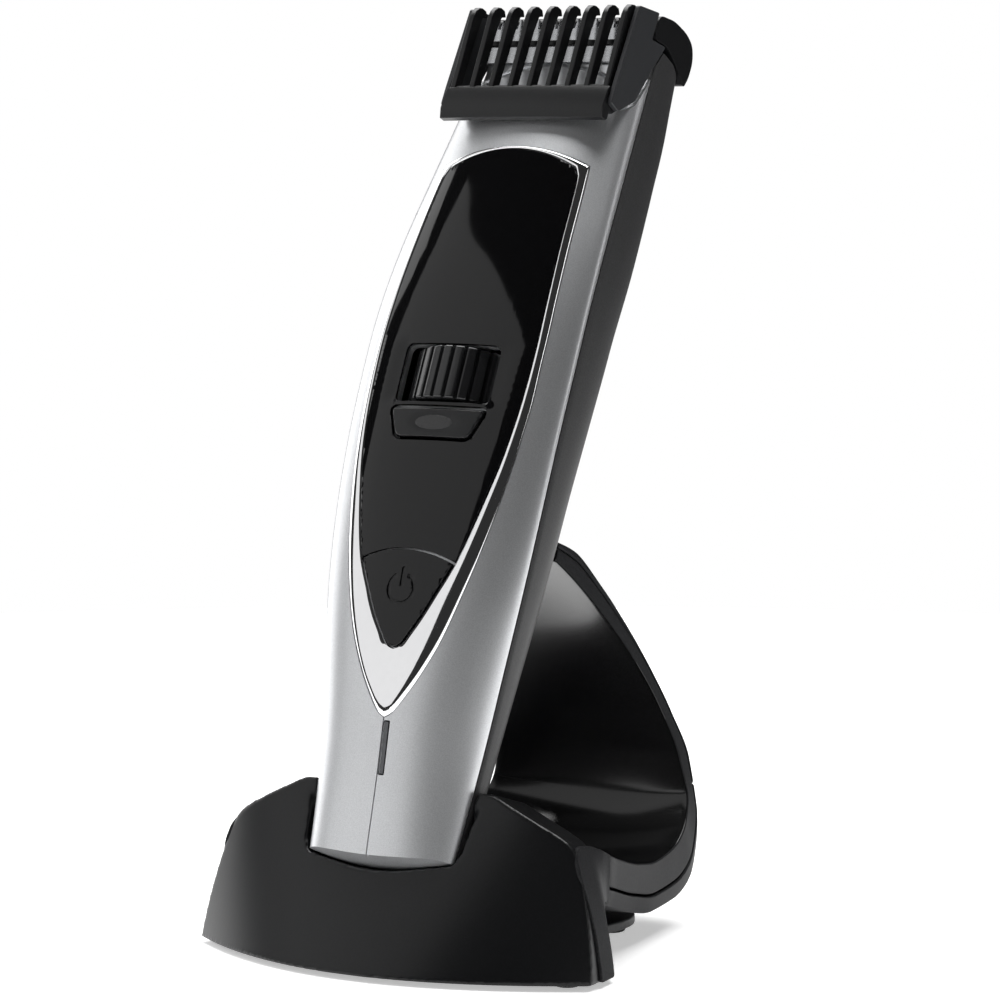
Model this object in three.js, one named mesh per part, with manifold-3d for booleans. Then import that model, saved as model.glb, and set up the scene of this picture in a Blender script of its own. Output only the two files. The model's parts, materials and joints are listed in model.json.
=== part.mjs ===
// Cordless beard trimmer standing in its charging stand. Millimetres, +Z up, front faces -Y.
// The stand is fixed. The trimmer leans back in it; its own axes are V (along the handle,
// upward), W (out of its front face) and X (to the right).
import * as THREE from 'three';
import { mergeVertices, toCreasedNormals } from 'three/addons/utils/BufferGeometryUtils.js';
import Module from 'manifold-3d';

const wasm = await Module();
wasm.setup();
const { Manifold, Mesh } = wasm;        // used only to join and cut solids

// ---------- driving sizes ----------
const LEAN = 24 * Math.PI / 180;      // backward lean of the trimmer in the stand
const FOOT_Y = 0.5, FOOT_Z = 17;      // where the trimmer's lower end sits
const GAP = 0.3;                      // running gap between neighbouring parts
const WALL = 1.9;                     // handle shell wall
const FRONT_TOP = 163, REAR_TOP = 170.6;   // top of the two handle shells

// handle profile along V: half width, front crest, parting line, back crest
const HALF = [[0, 16.3], [12, 17.2], [24, 18.3], [39, 20.2], [55, 22.2], [71, 23.4], [87, 24.0],
  [104, 24.2], [121, 23.6], [138, 22.2], [152, 21.0], [165, 20.0], [185, 19.0]];
const FRONT = [[0, 10.0], [3, 10.6], [17, 13.0], [27, 15.2], [40, 17.6], [52, 19.7], [68, 21.1],
  [84, 21.8], [100, 21.9], [115, 21.0], [130, 19.1], [143, 17.2], [151, 15.5], [165, 13.8], [185, 12.5]];
const PART = [[0, 4.4], [12, 5.0], [24, 6.0], [39, 8.6], [55, 11.3], [71, 13.2], [87, 14.2],
  [104, 14.3], [121, 12.9], [138, 9.9], [152, 7.4], [165, 5.2], [185, 3]];
const BACK = [[0, -3.4], [21, -3.9], [37, -3.4], [55, -2.9], [73, -2.8], [90, -3.7], [107, -5.0],
  [125, -6.0], [143, -6.4], [156, -6.4], [185, -6.4]];
const NBACK = [[0, 3], [107, 3.3], [125, 4], [143, 5], [156, 6], [185, 6]];

const PANEL = [[40, 0], [40.6, 1.9], [43, 3.7], [50, 7.3], [58, 10.9], [71, 14.4], [80, 16.2], [91, 17.3],
  [101, 17.6], [112, 17.2], [123, 16.5], [133, 15.8], [138.2, 15.2], [139.8, 14.2]];
const RING = [[27.2, 0], [27.8, 1.2], [31, 3.8], [36, 6.9], [42.5, 10.0], [50, 12.5], [59, 14.9], [71.5, 17.3],
  [82, 18.6], [92, 19.2], [103, 19.2], [113, 18.8], [124, 18.1], [134, 17.4], [140.5, 16.8]];
const TOPARC = 3.4;                   // rise of the arched upper edge of panel and ring

const CW = 11, DIAL_R = 12.3, DIAL_V0 = 88.9, DIAL_V1 = 99.7;   // length dial, axis along V
const TEETH = 9, PITCH = 4.45;        // comb teeth

// ---------- helpers ----------
function curve(t, v) {                // smooth interpolation through a table of [v, value]
  const n = t.length;
  if (v <= t[0][0]) return t[0][1];
  if (v >= t[n - 1][0]) return t[n - 1][1];
  let i = 0;
  while (v > t[i + 1][0]) i++;
  const d = (k) => (t[k + 1][1] - t[k][1]) / (t[k + 1][0] - t[k][0]);
  const h = t[i + 1][0] - t[i][0], s = (v - t[i][0]) / h;
  const m = (k) => {
    if (k === 0) return d(0);
    if (k === n - 1) return d(n - 2);
    const a = d(k - 1), b = d(k);
    return a * b <= 0 ? 0 : 2 * a * b / (a + b);
  };
  const s2 = s * s, s3 = s2 * s;
  return (2 * s3 - 3 * s2 + 1) * t[i][1] + (s3 - 2 * s2 + s) * h * m(i)
    + (3 * s2 - 2 * s3) * t[i + 1][1] + (s3 - s2) * h * m(i + 1);
}
const W3 = (x, v, w) => [x, -w, v];   // trimmer coordinates to the trimmer group's own axes

function solid(positions, triangles) {
  return new Manifold(new Mesh({ numProp: 3, vertProperties: new Float32Array(positions),
    triVerts: new Uint32Array(triangles) }));
}
function fromGeometry(geo) {
  const g = geo.clone();
  g.deleteAttribute('normal'); g.deleteAttribute('uv');
  const m = mergeVertices(g, 1e-4);
  return solid(m.attributes.position.array, m.index.array);
}
// closed skin through rings of equal point count; ends capped from a centre point
function loft(rings) {
  const n = rings[0].length, pos = [], tri = [];
  rings.forEach((r) => r.forEach((p) => pos.push(...p)));
  for (let k = 0; k < rings.length - 1; k++) for (let i = 0; i < n; i++) {
    const a = k * n + i, b = k * n + (i + 1) % n, c = a + n, d = b + n;
    tri.push(a, b, d, a, d, c);
  }
  const cap = (k, flip) => {
    const c = [0, 0, 0];
    rings[k].forEach((p) => { c[0] += p[0] / n; c[1] += p[1] / n; c[2] += p[2] / n; });
    const id = pos.length / 3;
    pos.push(...c);
    for (let i = 0; i < n; i++) {
      const a = k * n + i, b = k * n + (i + 1) % n;
      tri.push(...(flip ? [id, b, a] : [id, a, b]));
    }
  };
  cap(0, true); cap(rings.length - 1, false);
  let m = solid(pos, tri);
  if (m.volume() < 0) {
    for (let i = 0; i < tri.length; i += 3) [tri[i], tri[i + 1]] = [tri[i + 1], tri[i]];
    m = solid(pos, tri);
  }
  return m;
}
// skin between an inner and an outer line of points, stacked along a path
function sheet(rows) {
  const n = rows[0][0].length, pos = [], tri = [], R = rows.length;
  rows.forEach(([a, b]) => { a.forEach((p) => pos.push(...p)); b.forEach((p) => pos.push(...p)); });
  const A = (k, i) => k * 2 * n + i, B = (k, i) => k * 2 * n + n + i;
  const q = (a, b, c, d) => tri.push(a, b, c, a, c, d);
  for (let k = 0; k < R - 1; k++) {
    for (let i = 0; i < n - 1; i++) {
      q(A(k, i), A(k + 1, i), A(k + 1, i + 1), A(k, i + 1));
      q(B(k, i), B(k, i + 1), B(k + 1, i + 1), B(k + 1, i));
    }
    q(A(k, 0), B(k, 0), B(k + 1, 0), A(k + 1, 0));
    q(A(k, n - 1), A(k + 1, n - 1), B(k + 1, n - 1), B(k, n - 1));
  }
  for (let i = 0; i < n - 1; i++) {
    q(A(0, i), A(0, i + 1), B(0, i + 1), B(0, i));
    q(A(R - 1, i), B(R - 1, i), B(R - 1, i + 1), A(R - 1, i + 1));
  }
  let m = solid(pos, tri);
  if (m.volume() < 0) {
    for (let i = 0; i < tri.length; i += 3) [tri[i], tri[i + 1]] = [tri[i + 1], tri[i]];
    m = solid(pos, tri);
  }
  return m;
}
function placed(m, matrix) {          // the solid m moved, turned or stretched by a matrix
  const mesh = m.getMesh(), P = mesh.vertProperties, pos = [], v = new THREE.Vector3();
  for (let i = 0; i < P.length; i += mesh.numProp) {
    v.set(P[i], P[i + 1], P[i + 2]).applyMatrix4(matrix);
    pos.push(v.x, v.y, v.z);
  }
  const tri = Array.from(mesh.triVerts);
  if (matrix.determinant() < 0) for (let i = 0; i < tri.length; i += 3) [tri[i], tri[i + 1]] = [tri[i + 1], tri[i]];
  return solid(pos, tri);
}
const RAD = Math.PI / 180, M4 = () => new THREE.Matrix4();
const turn = (m, [x, y, z]) => placed(m, M4().makeRotationZ(z * RAD)
  .multiply(M4().makeRotationY(y * RAD)).multiply(M4().makeRotationX(x * RAD)));
const shift = (m, [x, y, z]) => placed(m, M4().makeTranslation(x, y, z));
const stretch = (m, [x, y, z]) => placed(m, M4().makeScale(x, y, z));
const mirror = (m) => stretch(m, [-1, 1, 1]);
function extrude(points, depth) {     // outline in XY, thickness along +Z
  const s = new THREE.Shape(points.map(([a, b]) => new THREE.Vector2(a, b)));
  return fromGeometry(new THREE.ExtrudeGeometry(s, { depth, bevelEnabled: false }));
}
// outline given as [x, v], running from w0 to w1 in the trimmer
const plateXV = (pts, w0, w1) => shift(turn(extrude(pts, w1 - w0), [90, 0, 0]), [0, -w0, 0]);
// outline given as [w, v], running from x0 to x1 in the trimmer
const plateWV = (pts, x0, x1) =>
  shift(turn(extrude(pts.map(([w, v]) => [-w, v]), x1 - x0), [90, 0, 90]), [x0, 0, 0]);
const box = (x0, x1, y0, y1, z0, z1) => fromGeometry(
  new THREE.BoxGeometry(x1 - x0, y1 - y0, z1 - z0).translate((x0 + x1) / 2, (y0 + y1) / 2, (z0 + z1) / 2));
const boxT = (x0, x1, v0, v1, w0, w1) => box(x0, x1, -w1, -w0, v0, v1);
const cyl = (r, h, n = 24, r2 = r) =>
  fromGeometry(new THREE.CylinderGeometry(r2, r, h, n).rotateX(Math.PI / 2).translate(0, 0, h / 2));
const rodV = (x, w, v0, v1, r, n = 24, r2 = r) => shift(cyl(r, v1 - v0, n, r2), [x, -w, v0]);
const rodW = (x, v, w0, w1, r, n = 20, r2 = r) => shift(turn(cyl(r, w1 - w0, n, r2), [90, 0, 0]), [x, -w0, v]);
const rodY = (x, z, y0, y1, r, n = 24) => shift(turn(cyl(r, y1 - y0, n), [-90, 0, 0]), [x, y0, z]);
const join = (...m) => m.reduce((a, b) => a.add(b));
const cut = (a, ...m) => m.reduce((s, b) => s.subtract(b), a);

// ---------- handle ----------
// outline of the handle across V, grown by `off`
function section(v, off, n = 36) {
  const a = curve(HALF, v) + off, p = curve(PART, v), f = curve(FRONT, v) + off - p;
  const b = p - curve(BACK, v) + off, e = curve(NBACK, v), ring = [];
  for (let i = 0; i < n; i++) {
    const t = (i + 0.5) / n * 2 * Math.PI, c = Math.cos(t), s = Math.sin(t);
    const k = s > 0 ? 2.15 : e, h = s > 0 ? f : b, q = 2 / k;
    ring.push(W3(a * Math.sign(c) * Math.abs(c) ** q, v, p + h * Math.sign(s) * Math.abs(s) ** q));
  }
  return ring;
}
function handle(off, v0, v1, count = 17, n = 36) {
  const rings = [];
  for (let i = 0; i < count; i++) rings.push(section(v0 + (v1 - v0) * i / (count - 1), off, n));
  return loft(rings);
}
function partingSide(front, shift) {  // everything in front of / behind the parting surface
  const pts = [];
  for (let v = -6; v <= 186; v += 6) pts.push([curve(PART, v) + shift, v]);
  const far = front ? 60 : -60;
  return plateWV([[far, -6], ...pts, [far, 186]], -60, 60);
}
function outline(table, grow, vTop) { // closed [x, v] outline of the panel or the ring
  const right = table.map(([v, x]) => [x > 0 ? x + grow : 0, x > 0 ? v : v - grow]);
  const last = right[right.length - 1], arc = [];
  for (let i = 1; i < 9; i++) {
    const a = 1 - 2 * i / 9;
    arc.push([last[0] * a, vTop + grow + TOPARC * (1 - a * a)]);
  }
  last[1] = vTop + grow;
  const left = right.slice(1).reverse().map(([x, v]) => [-x, v]);
  return [...right, ...arc, ...left];
}
function endTool(drop) {              // everything below the trimmer's rounded lower end
  const rows = [];
  for (const w of [-20, 0, 6.4, 9, 12, 30]) {
    const up = [], low = [];
    for (let i = 0; i <= 16; i++) {
      const x = -24 + 3 * i, v = 0.3 + Math.max(0, w - 6.4) * 0.31 + 2.3 * (x / 16.5) ** 2 - drop;
      up.push(W3(x, v, w)); low.push(W3(x, -12, w));
    }
    rows.push([low, up]);
  }
  return sheet(rows);
}
const bottomCut = endTool(0);
const topRecess = join(boxT(-17.6, 17.6, 157.2, 170, 3, 30), rodW(0, 157.4, 9, 30, 6.2, 28));

const outer = handle(0, 0, REAR_TOP), inner = handle(-WALL, WALL + 0.8, REAR_TOP + 2);
const innerF = handle(-WALL - 0.5, WALL + 0.8, REAR_TOP + 2);
const cheekRoom = plateWV([[40, 150.6], [13.9, 151.6], [9.1, 156.2], [6.9, 161.4], [5.9, 164.3], [4.9, 166.4], [2.8, 171],
  [2.8, 180], [40, 180]], 17.2, 30);
const hoodRoom = plateWV([[40, FRONT_TOP], [6.6, FRONT_TOP], [5.2, 170.1], [2.4, 170.15], [-1.2, 169.65], [-4.7, 167.95],
  [-6.7, 166.6], [-14, 166.4], [-14, 180], [40, 180]], -40, 40);
const skinUp = handle(0.55, 20, 150, 18), skinDn = handle(-1.05, 20, 150, 18);
const ringHole = plateXV(outline(RING, 0.15, 140.65), 5, 40);
const panelHole = plateXV(outline(PANEL, 0.2, 140), 5, 40);

const dialWindow = boxT(-10.9, 10.9, DIAL_V0 - 0.6, DIAL_V1 + 0.6, 0, 40);
const LOCK = [[-10.6, 86.9], [-8.2, 81.2], [8.2, 81.2], [10.6, 86.9]];
const grow = (pts, g, c) => pts.map(([x, v]) => [x + Math.sign(x) * g, v + Math.sign(v - c) * g]);
function powerOutline(g) {            // lower part of the panel, below a shallow arc
  const pts = PANEL.filter(([v]) => v < 56).map(([v, x]) => [Math.max(0, x - g), v + (x === 0 ? g * 1.6 : 0)]);
  const e = curve(PANEL, 57.0) - g, top = [];
  for (let i = 0; i <= 8; i++) { const a = 1 - i / 4; top.push([e * a, 56.8 - g + 2.1 * (1 - a * a)]); }
  return [...pts, ...top, ...pts.slice(1).reverse().map(([x, v]) => [-x, v])];
}

function frontShell() {
  let m = outer.intersect(partingSide(true, GAP / 2)).subtract(innerF.subtract(skinDn.subtract(innerF)));
  m = cut(m, bottomCut, topRecess, hoodRoom, cheekRoom, mirror(cheekRoom), ringHole.subtract(skinDn));
  m = cut(m, dialWindow, plateXV(grow(LOCK, 0.3, 84), 5, 40), rodW(0, 51, 0, 40, 3.2));
  m = cut(m, boxT(0.05, 1.45, 16.4, 26.6, 0, 30));
  return cut(m, boxT(-0.25, 0.05, 2, 26.6, 0, 30).subtract(handle(-0.5, -2, 40, 10)));
}
function rearShell() {
  let m = outer.intersect(partingSide(false, -GAP / 2)).subtract(inner);
  m = cut(m, bottomCut, hoodRoom, boxT(-17.6, 17.6, 158.2, 172, 2, 30), cheekRoom, mirror(cheekRoom));
  for (const s of [-1, 1]) m = cut(m, boxT(s * 6 - 1.6, s * 6 + 1.6, -2, 4, -1.2, 2.0));
  for (const [x, v] of SCREWS) m = cut(m, rodW(x, v, -12, 0, 1.55));
  return m;
}
const SCREWS = [[-9, 70], [9, 70], [0, 148]];
function shellScrew(x, v) {
  const w = curve(BACK, v) + 0.7;
  return cut(join(rodW(x, v, w, w + 7, 0.8, 12), rodW(x, v, w, w + 1.1, 1.35, 16)),
    boxT(x - 0.9, x + 0.9, v - 0.2, v + 0.2, w - 1, w + 0.5));
}
function chromeRing() {
  return skinUp.intersect(plateXV(outline(RING, 0, 140.5), 5, 40)).subtract(handle(-0.55, 18, 152, 18))
    .subtract(panelHole.subtract(boxT(-30, 30, 0, 39.4, 0, 40)));
}
function glossPanel() {
  let m = handle(0.35, 20, 150, 18).intersect(plateXV(outline(PANEL, 0, 139.8), 5, 40));
  m = cut(m, handle(-0.55, 18, 152, 18), dialWindow, plateXV(grow(LOCK, 0.3, 84), 5, 40));
  m = cut(m, plateXV([[-12.7, 91], [-12.2, 89.4], [12.2, 89.4], [12.7, 91], [12.7, 97.4], [11.6, 99.4], [-11.6, 99.4], [-12.7, 97.4]], 5, 40)
    .subtract(handle(-0.1, 80, 110, 7)));
  return cut(m, plateXV(powerOutline(-0.25), 5, 40));
}
function powerButton() {
  let m = handle(0.35, 20, 150, 18).intersect(plateXV(powerOutline(0.15), 5, 40));
  m = m.subtract(handle(-0.3, 18, 152, 18)).add(rodW(0, 51, 16.2, 20, 2.6));
  const ringCut = cyl(3.3, 20, 28).subtract(cyl(2.6, 20, 28)).subtract(box(-1.1, 1.1, 0, 6, -1, 21));
  const icon = shift(turn(ringCut.add(box(-0.35, 0.35, 0.4, 4.3, 0, 20)), [90, 0, 0]), [0, -10, 51.4]);
  return m.subtract(icon.subtract(handle(0.1, 18, 152, 18)));
}
function lockButton() {
  const m = handle(0.55, 20, 150, 18).intersect(plateXV(LOCK, 15.6, 40)).add(boxT(-4, 4, 82, 85.6, 13.4, 16));
  const pad = shift(stretch(rodW(0, 0, 5, 40, 3.4), [1.5, 1, 0.45]), [0, 0, 84]);
  return m.subtract(pad.subtract(handle(0.25, 70, 100, 6)));
}
function dialWheel() {
  const n = 30, pts = [];
  for (let i = 0; i < n; i++) for (const [f, r] of [[0, 0], [0.32, 0], [0.5, -0.75], [0.82, -0.75]]) {
    const a = (i + f) / n * 2 * Math.PI, R = DIAL_R + r;
    pts.push([R * Math.cos(a), R * Math.sin(a)]);
  }
  const h = DIAL_V1 - DIAL_V0;
  let m = extrude(pts, h);
  return shift(m.subtract(shift(cyl(2.6, 40, 20), [0, 0, -5])), [0, -CW, DIAL_V0]);
}
function dialScrew() {                // spindle through the dial with the raised spiral above it
  let m = join(rodV(0, CW, 86.2, 117.5, 2.3, 20), rodV(0, CW, DIAL_V1 + 0.3, DIAL_V1 + 1.3, 4.4, 24));
  const pts = [];
  for (let i = 0; i <= 40; i++) {
    const a = i / 40 * 4 * Math.PI;
    pts.push(new THREE.Vector3(2.5 * Math.cos(a), 2.5 * Math.sin(a) - CW, 102.6 + 11 * i / 40));
  }
  const path = new THREE.CatmullRomCurve3(pts);
  const t = new THREE.ExtrudeGeometry(new THREE.Shape([[-.5, -.5], [.5, -.5], [.5, .5], [-.5, .5]]
    .map(([a, b]) => new THREE.Vector2(a, b))), { steps: 26, extrudePath: path, bevelEnabled: false });
  return m.add(fromGeometry(t));
}

// ---------- head ----------
function combCarriage() {             // lifting frame: nut on the spindle, two arms, rear hood
  let m = boxT(-16.8, 16.8, 103.4, 106.4, 5.6, 15.6).subtract(rodV(0, CW, 100, 110, 3.4, 24));
  for (const s of [-1, 1]) {
    const side = (a, b, ...r) => (s > 0 ? boxT(a, b, ...r) : boxT(-b, -a, ...r));
    m = join(m, side(15.4, 16.9, 103.4, 160, 4.6, 8.4), side(15.4, 16.9, 158, 175.4, -2.4, 5.6),
      side(15.4, 17.6, 171.6, 175.4, -2.4, 5.6));
  }
  return m;
}
function hood() {                     // dark half-moon hood over the back of the head
  const pts = [[2.6, 171.9], [7.6, 171.2], [7.4, 176.7], [1.8, 178], [-0.8, 178.1], [-3.3, 177.7], [-5.2, 176.9], [-6.4, 176.1], [-7.2, 174.8],
    [-7.6, 172.4], [-7.5, 169.7], [-6.5, 167.0], [-4.7, 168.3], [-1.2, 170.0]];
  const m = plateWV(pts, -19.6, 19.6);
  const hollow = plateWV([[9, 169.8], [9, 175.2], [1.6, 176.6], [-0.8, 176.7], [-3.0, 176.4], [-5.0, 175.4], [-5.9, 174.2],
    [-6.1, 172], [-6.1, 166], [0, 166]], -18, 18);
  return m.subtract(hollow);
}
function comb() {
  const bar = plateWV([[15.9, 150.1], [17.8, 149.8], [18.2, 151.9], [17.8, 156.2], [15.7, 156.4]], -18.7, 18.7);
  let m = bar;
  const tooth = [[15.4, 155.4], [17.7, 155.2], [17.2, 172.2], [16.6, 174.0], [15.4, 174.9], [13.7, 175.0],
    [12.7, 174.0], [13.4, 173.7], [14.1, 172.2], [14.4, 168.8], [14.4, 159]];
  for (let i = 0; i < TEETH; i++) {
    const x = (i - (TEETH - 1) / 2) * PITCH;
    m = m.add(plateWV(tooth, x - 0.65, x + 0.65));
  }
  m = m.add(boxT(-18.0, 18.0, 154.8, 156.4, 15.4, 17.0));
  for (const s of [-1, 1]) m = m.add(plateWV([[17.1, 156.2], [17.4, 150.9], [14.4, 151.9], [10.9, 155.4], [11, 157]],
    s > 0 ? 17.5 : -18.7, s > 0 ? 18.7 : -17.5));
  return m;
}
function cheek(s) {
  const pts = [[14.4, 152.4], [17.4, 152.9], [17.2, 156.5], [15.4, 174.7], [8, 176.6], [8.5, 170.6], [3.2, 171.4],
    [5.3, 166.7], [6.3, 164.8], [7.3, 161.9], [9.5, 156.8]];
  return plateWV(pts, s > 0 ? 18.95 : -19.9, s > 0 ? 19.9 : -18.95);
}
function headPlate() {                // bright head casting that carries the blades
  let m = plateWV([[3.2, 157.6], [10.9, 158.4], [11.8, 161.2], [11.8, 166.2], [9.6, 167.2], [3.2, 167.2]], -15.2, 15.2);
  m = m.subtract(boxT(-8, 8, 150, 166, 0, 9.6)).subtract(boxT(-4.2, 4.2, 150, 170, 0, 9.6));
  return m.add(boxT(-14.4, 14.4, 165.6, 167.2, -3.7, 3.4));
}
function fixedBlade() {
  let m = boxT(-15.9, 15.9, 166.4, 171.5, 12.2, 12.9);
  m = m.add(boxT(-15.2, 15.2, 163.8, 167.4, 12.2, 12.9));
  for (let i = 0; i < 24; i++) {
    const x = -15.55 + i * 31.1 / 23;
    m = m.add(plateXV([[x - 0.42, 171.3], [x + 0.42, 171.3], [x + 0.2, 173.3], [x - 0.2, 173.3]], 12.2, 12.9));
  }
  return m;
}
function movingBlade() {
  let m = boxT(-13.4, 13.4, 167.6, 170.9, 11.1, 11.9);
  m = m.subtract(boxT(-1.3, 1.3, 167.2, 169.8, 10, 13));
  for (let i = 0; i < 18; i++) {
    const x = -12.9 + i * 25.8 / 17;
    m = m.add(plateXV([[x - 0.45, 170.7], [x + 0.45, 170.7], [x + 0.2, 172.5], [x - 0.2, 172.5]], 11.1, 11.9));
  }
  return m;
}
function driveYoke() {                // forked lever between the crank pin and the moving blade
  let m = boxT(-4, 4, 154.2, 157.6, 3.2, 8.4).subtract(boxT(-2.5, 2.5, 153, 158.6, 2, 7.2));
  m = m.add(boxT(-2.6, 2.6, 157.2, 168.6, 7.5, 9.0)).add(boxT(-0.9, 0.9, 167.9, 169.3, 7.5, 11.7));
  return m;
}
const motorW = 5.2;
const motorCan = () => join(rodV(0, motorW, 120, 144, 9.0, 32), rodV(0, motorW, 143.8, 146.2, 3, 20));
const motorShaft = () => rodV(0, motorW, 146.5, 149.4, 0.95, 14);
const CRANK_THROW = 0.8;
const crank = () => join(rodV(0, motorW, 149.6, 152.8, 4.2, 24), rodV(CRANK_THROW, motorW, 152.7, 156.8, 0.8, 14));

// ---------- handle internals ----------
const cell = (s) => join(rodV(s * 6.2, 4.8, 20, 63, 5.1, 24), rodV(s * 6.2, 4.8, 62.9, 64.2, 1.8, 16));
function circuitBoard() {
  return cut(boxT(-12.5, 12.5, 27.6, 79.5, 10.3, 11.4), rodW(0, 70, 5, 20, 1.6), boxT(-13, -10, 20, 38, 5, 20),
    boxT(10, 13, 20, 38, 5, 20));
}
const tactSwitch = () => join(boxT(-3, 3, 48, 54, 11.7, 14.2), rodW(0, 51, 14.1, 15.5, 1.5));
const lightPipe = () => boxT(0.35, 1.15, 16.7, 26.3, 10.8, 30).intersect(handle(0.05, 2, 40, 10))
  .subtract(boxT(-2, 3, 10, 22.6, 10, 10.9));
const ledBulb = () => boxT(-0.4, 1.9, 27.8, 30.2, 11.7, 12.6);
const chargeTab = (s) => join(boxT(s * 6 - 1.2, s * 6 + 1.2, 1.6, 2.4, -1.0, 1.7), boxT(s * 6 - 0.5, s * 6 + 0.5, 2.3, 15, -0.1, 0.5));

// ---------- stand ----------
const toWorld = (m) => shift(turn(m, [-LEAN / RAD, 0, 0]), [0, FOOT_Y, FOOT_Z]);
function socket(off) {                // room the trimmer's lower end drops into, open upward
  const rings = [];
  for (const v of [0.2, 4, 10, 18, 30, 46, 64, 90]) {
    const vv = Math.min(v, 46);
    rings.push(section(vv, off + (v > 46 ? (v - 46) * 0.1 : 0)).map(([x, y]) => [x, y, v - 0.6 - (v < 1 ? off : 0)]));
  }
  return toWorld(loft(rings).subtract(endTool(0.45 + Math.max(0, off - 0.5))));
}
const BASE_X = 45, BULGE = 16.4;      // half width and plan bulge of the front of the stand
function blockRing(z, off) {          // outline of the front block at height z
  const t = z / 34, xs = BASE_X - off - 3.4 * t - 6.2 * t * t, ring = [];
  const back = 13.5 - off;
  for (let i = 0; i <= 20; i++) {
    const a = -1 + i / 10, yb = -0.6 - BULGE * (1 - a * a) + off, yTop = 1.6 + off * 0.6 + 3.1 * a ** 4;
    ring.push([xs * a, yb + (yTop - yb) * t, z]);
  }
  for (let i = 0; i <= 12; i++) {     // back, with its two corners taken off
    const a = 1 - i / 6, c = Math.abs(a);
    const x = c > 0.99 ? (xs - 1.4) * a : c > 0.8 ? Math.sign(a) * (xs - 4.0) : (xs - 7.4) * a * 1.5;
    ring.push([x, c > 0.99 ? back - 4 : c > 0.8 ? back - 1 : back, z]);
  }
  return ring;
}
function block(off, z0, z1) {
  const r = [];
  for (let i = 0; i <= 6; i++) r.push(blockRing(z0 + (z1 - z0) * i / 6, off));
  return loft(r);
}
function deckTool(drop) {             // everything above the shoulders, falling away to the back
  const p = [[-60, 70], [-60, 24.2], [-39.3, 24.2], [-38.7, 25.6], [-37.3, 27], [-35, 28.3], [-31, 30.1], [-24, 33.3],
    [-21.5, 34.5]].map(([x, z]) => [x, z - drop]);
  const all = [...p, ...p.slice().reverse().map(([x, z]) => [-x, z])];
  const m = shift(turn(extrude(all, 80), [90, 0, 0]), [0, 40, 0]);
  return placed(m, new THREE.Matrix4().set(1, 0, 0, 0, 0, 1, 0, 0, 0, -0.27, 1, 0.5, 0, 0, 0, 1));
}
function notchTool(g) {               // cut-away in the front face that shows the trimmer's end
  const p = [[-23 - g, 40], [-22.3 - g, 34.3], [-20.6 - g, 33.2], [-19.3 - g, 31.2], [-18.3 - g, 28.2], [-17.7 - g, 23]];
  const left = p.slice();
  for (let i = 1; i < 12; i++) { const a = -1 + i / 6; p.push([(17.7 + g) * a, 23 - (3.7 + g) * (1 - a * a)]); }
  p.push(...left.reverse().map(([x, z]) => [-x, z]));
  return shift(turn(extrude(p, 20), [90, 0, 0]), [0, 1, 0]);
}
function standFront() {
  const o = cut(block(0, 0.9, 36), deckTool(0));
  const hollow = cut(block(2.2, -3, 36), deckTool(2.2));
  let m = o.subtract(hollow).add(socket(2.4).intersect(o));
  m = cut(m, socket(0.5), notchTool(0));
  for (const s of [-1, 1]) m = cut(m, toWorld(boxT(s * 6 - 1.5, s * 6 + 1.5, -8, 2, -1.1, 1.8)));
  m = cut(m, box(-25.4, 25.4, 10, 20, -5, 5.6), box(-4.4, 4.4, 10, 20, 6.9, 12.1));
  return m;
}
// C-shaped cradle: [y inner, z inner, y outer, z outer, half width, dish]
const CRADLE = [[13.9, 23.8, 13.9, 14.0, 38.4, 1.2], [18, 22.3, 17, 12.7, 37.5, 1.4], [24.3, 20.4, 23, 11.6, 35.8, 1.8],
  [37.2, 17.3, 34.5, 8.2, 32.6, 2.6], [48.3, 16.0, 48, 6.0, 29.8, 3.2], [59.4, 16.9, 61.0, 6.4, 27.2, 3.6],
  [68.0, 20.8, 71.6, 10.2, 24.9, 3.8], [71.2, 26.6, 76.5, 21.4, 23.2, 3.8], [70.2, 33.8, 75.8, 32.2, 21.8, 3.6],
  [65.0, 44.0, 70.8, 42.4, 20.4, 3.2], [55.2, 56.2, 60.6, 56.4, 19.0, 2.6], [44.6, 66.2, 48.9, 69.0, 17.8, 1.9],
  [36.9, 72.4, 39.9, 76.8, 17.0, 1.2], [32.2, 75.7, 33.4, 79.4, 16.5, 0.8]];
function cradleRows(a, b, s0, s1, edge, count = 22, n = 9, edgeB = edge) {
  // a, b: depth of both faces between the inner (0) and outer (1) profile
  const tab = (k) => CRADLE.map((r, i) => [i, r[k]]), rows = [];
  const T = [0, 1, 2, 3, 4, 5].map(tab);
  for (let k = 0; k < count; k++) {
    const s = s0 + (s1 - s0) * k / (count - 1), c = T.map((t) => curve(t, s));
    const line = (f, e) => {
      const y = c[0] + (c[2] - c[0]) * f, z = c[1] + (c[3] - c[1]) * f, L = [];
      const nx = c[2] - c[0], nz = c[3] - c[1], len = Math.hypot(nx, nz);
      for (let i = 0; i < n; i++) {
        const u = -1 + 2 * i / (n - 1), d = c[5] * (1 - u * u) * (1 - f * 0.8);
        L.push([(c[4] - e) * u, y + nx / len * d, z + nz / len * d]);
      }
      return L;
    };
    rows.push([line(a, edge), line(b, edgeB)]);
  }
  return rows;
}
function cradleInner() {              // glossy inner skin with its rim strip
  const skin = sheet(cradleRows(0, 0.62, 0, 13, 0)), core = sheet(cradleRows(0.3, 0.8, 0.25, 12.7, 1.7));
  return skin.subtract(core);
}
const coverLow = () => sheet(cradleRows(0.68, 1, 0.05, 7.42, 0, 13, 9, 1.2)).subtract(
  sheet(cradleRows(0.5, 0.86, 0.4, 8, 2.2, 12)));
const coverHigh = () => sheet(cradleRows(0.68, 1, 7.5, 13, 0, 12, 9, 1.2));
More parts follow.
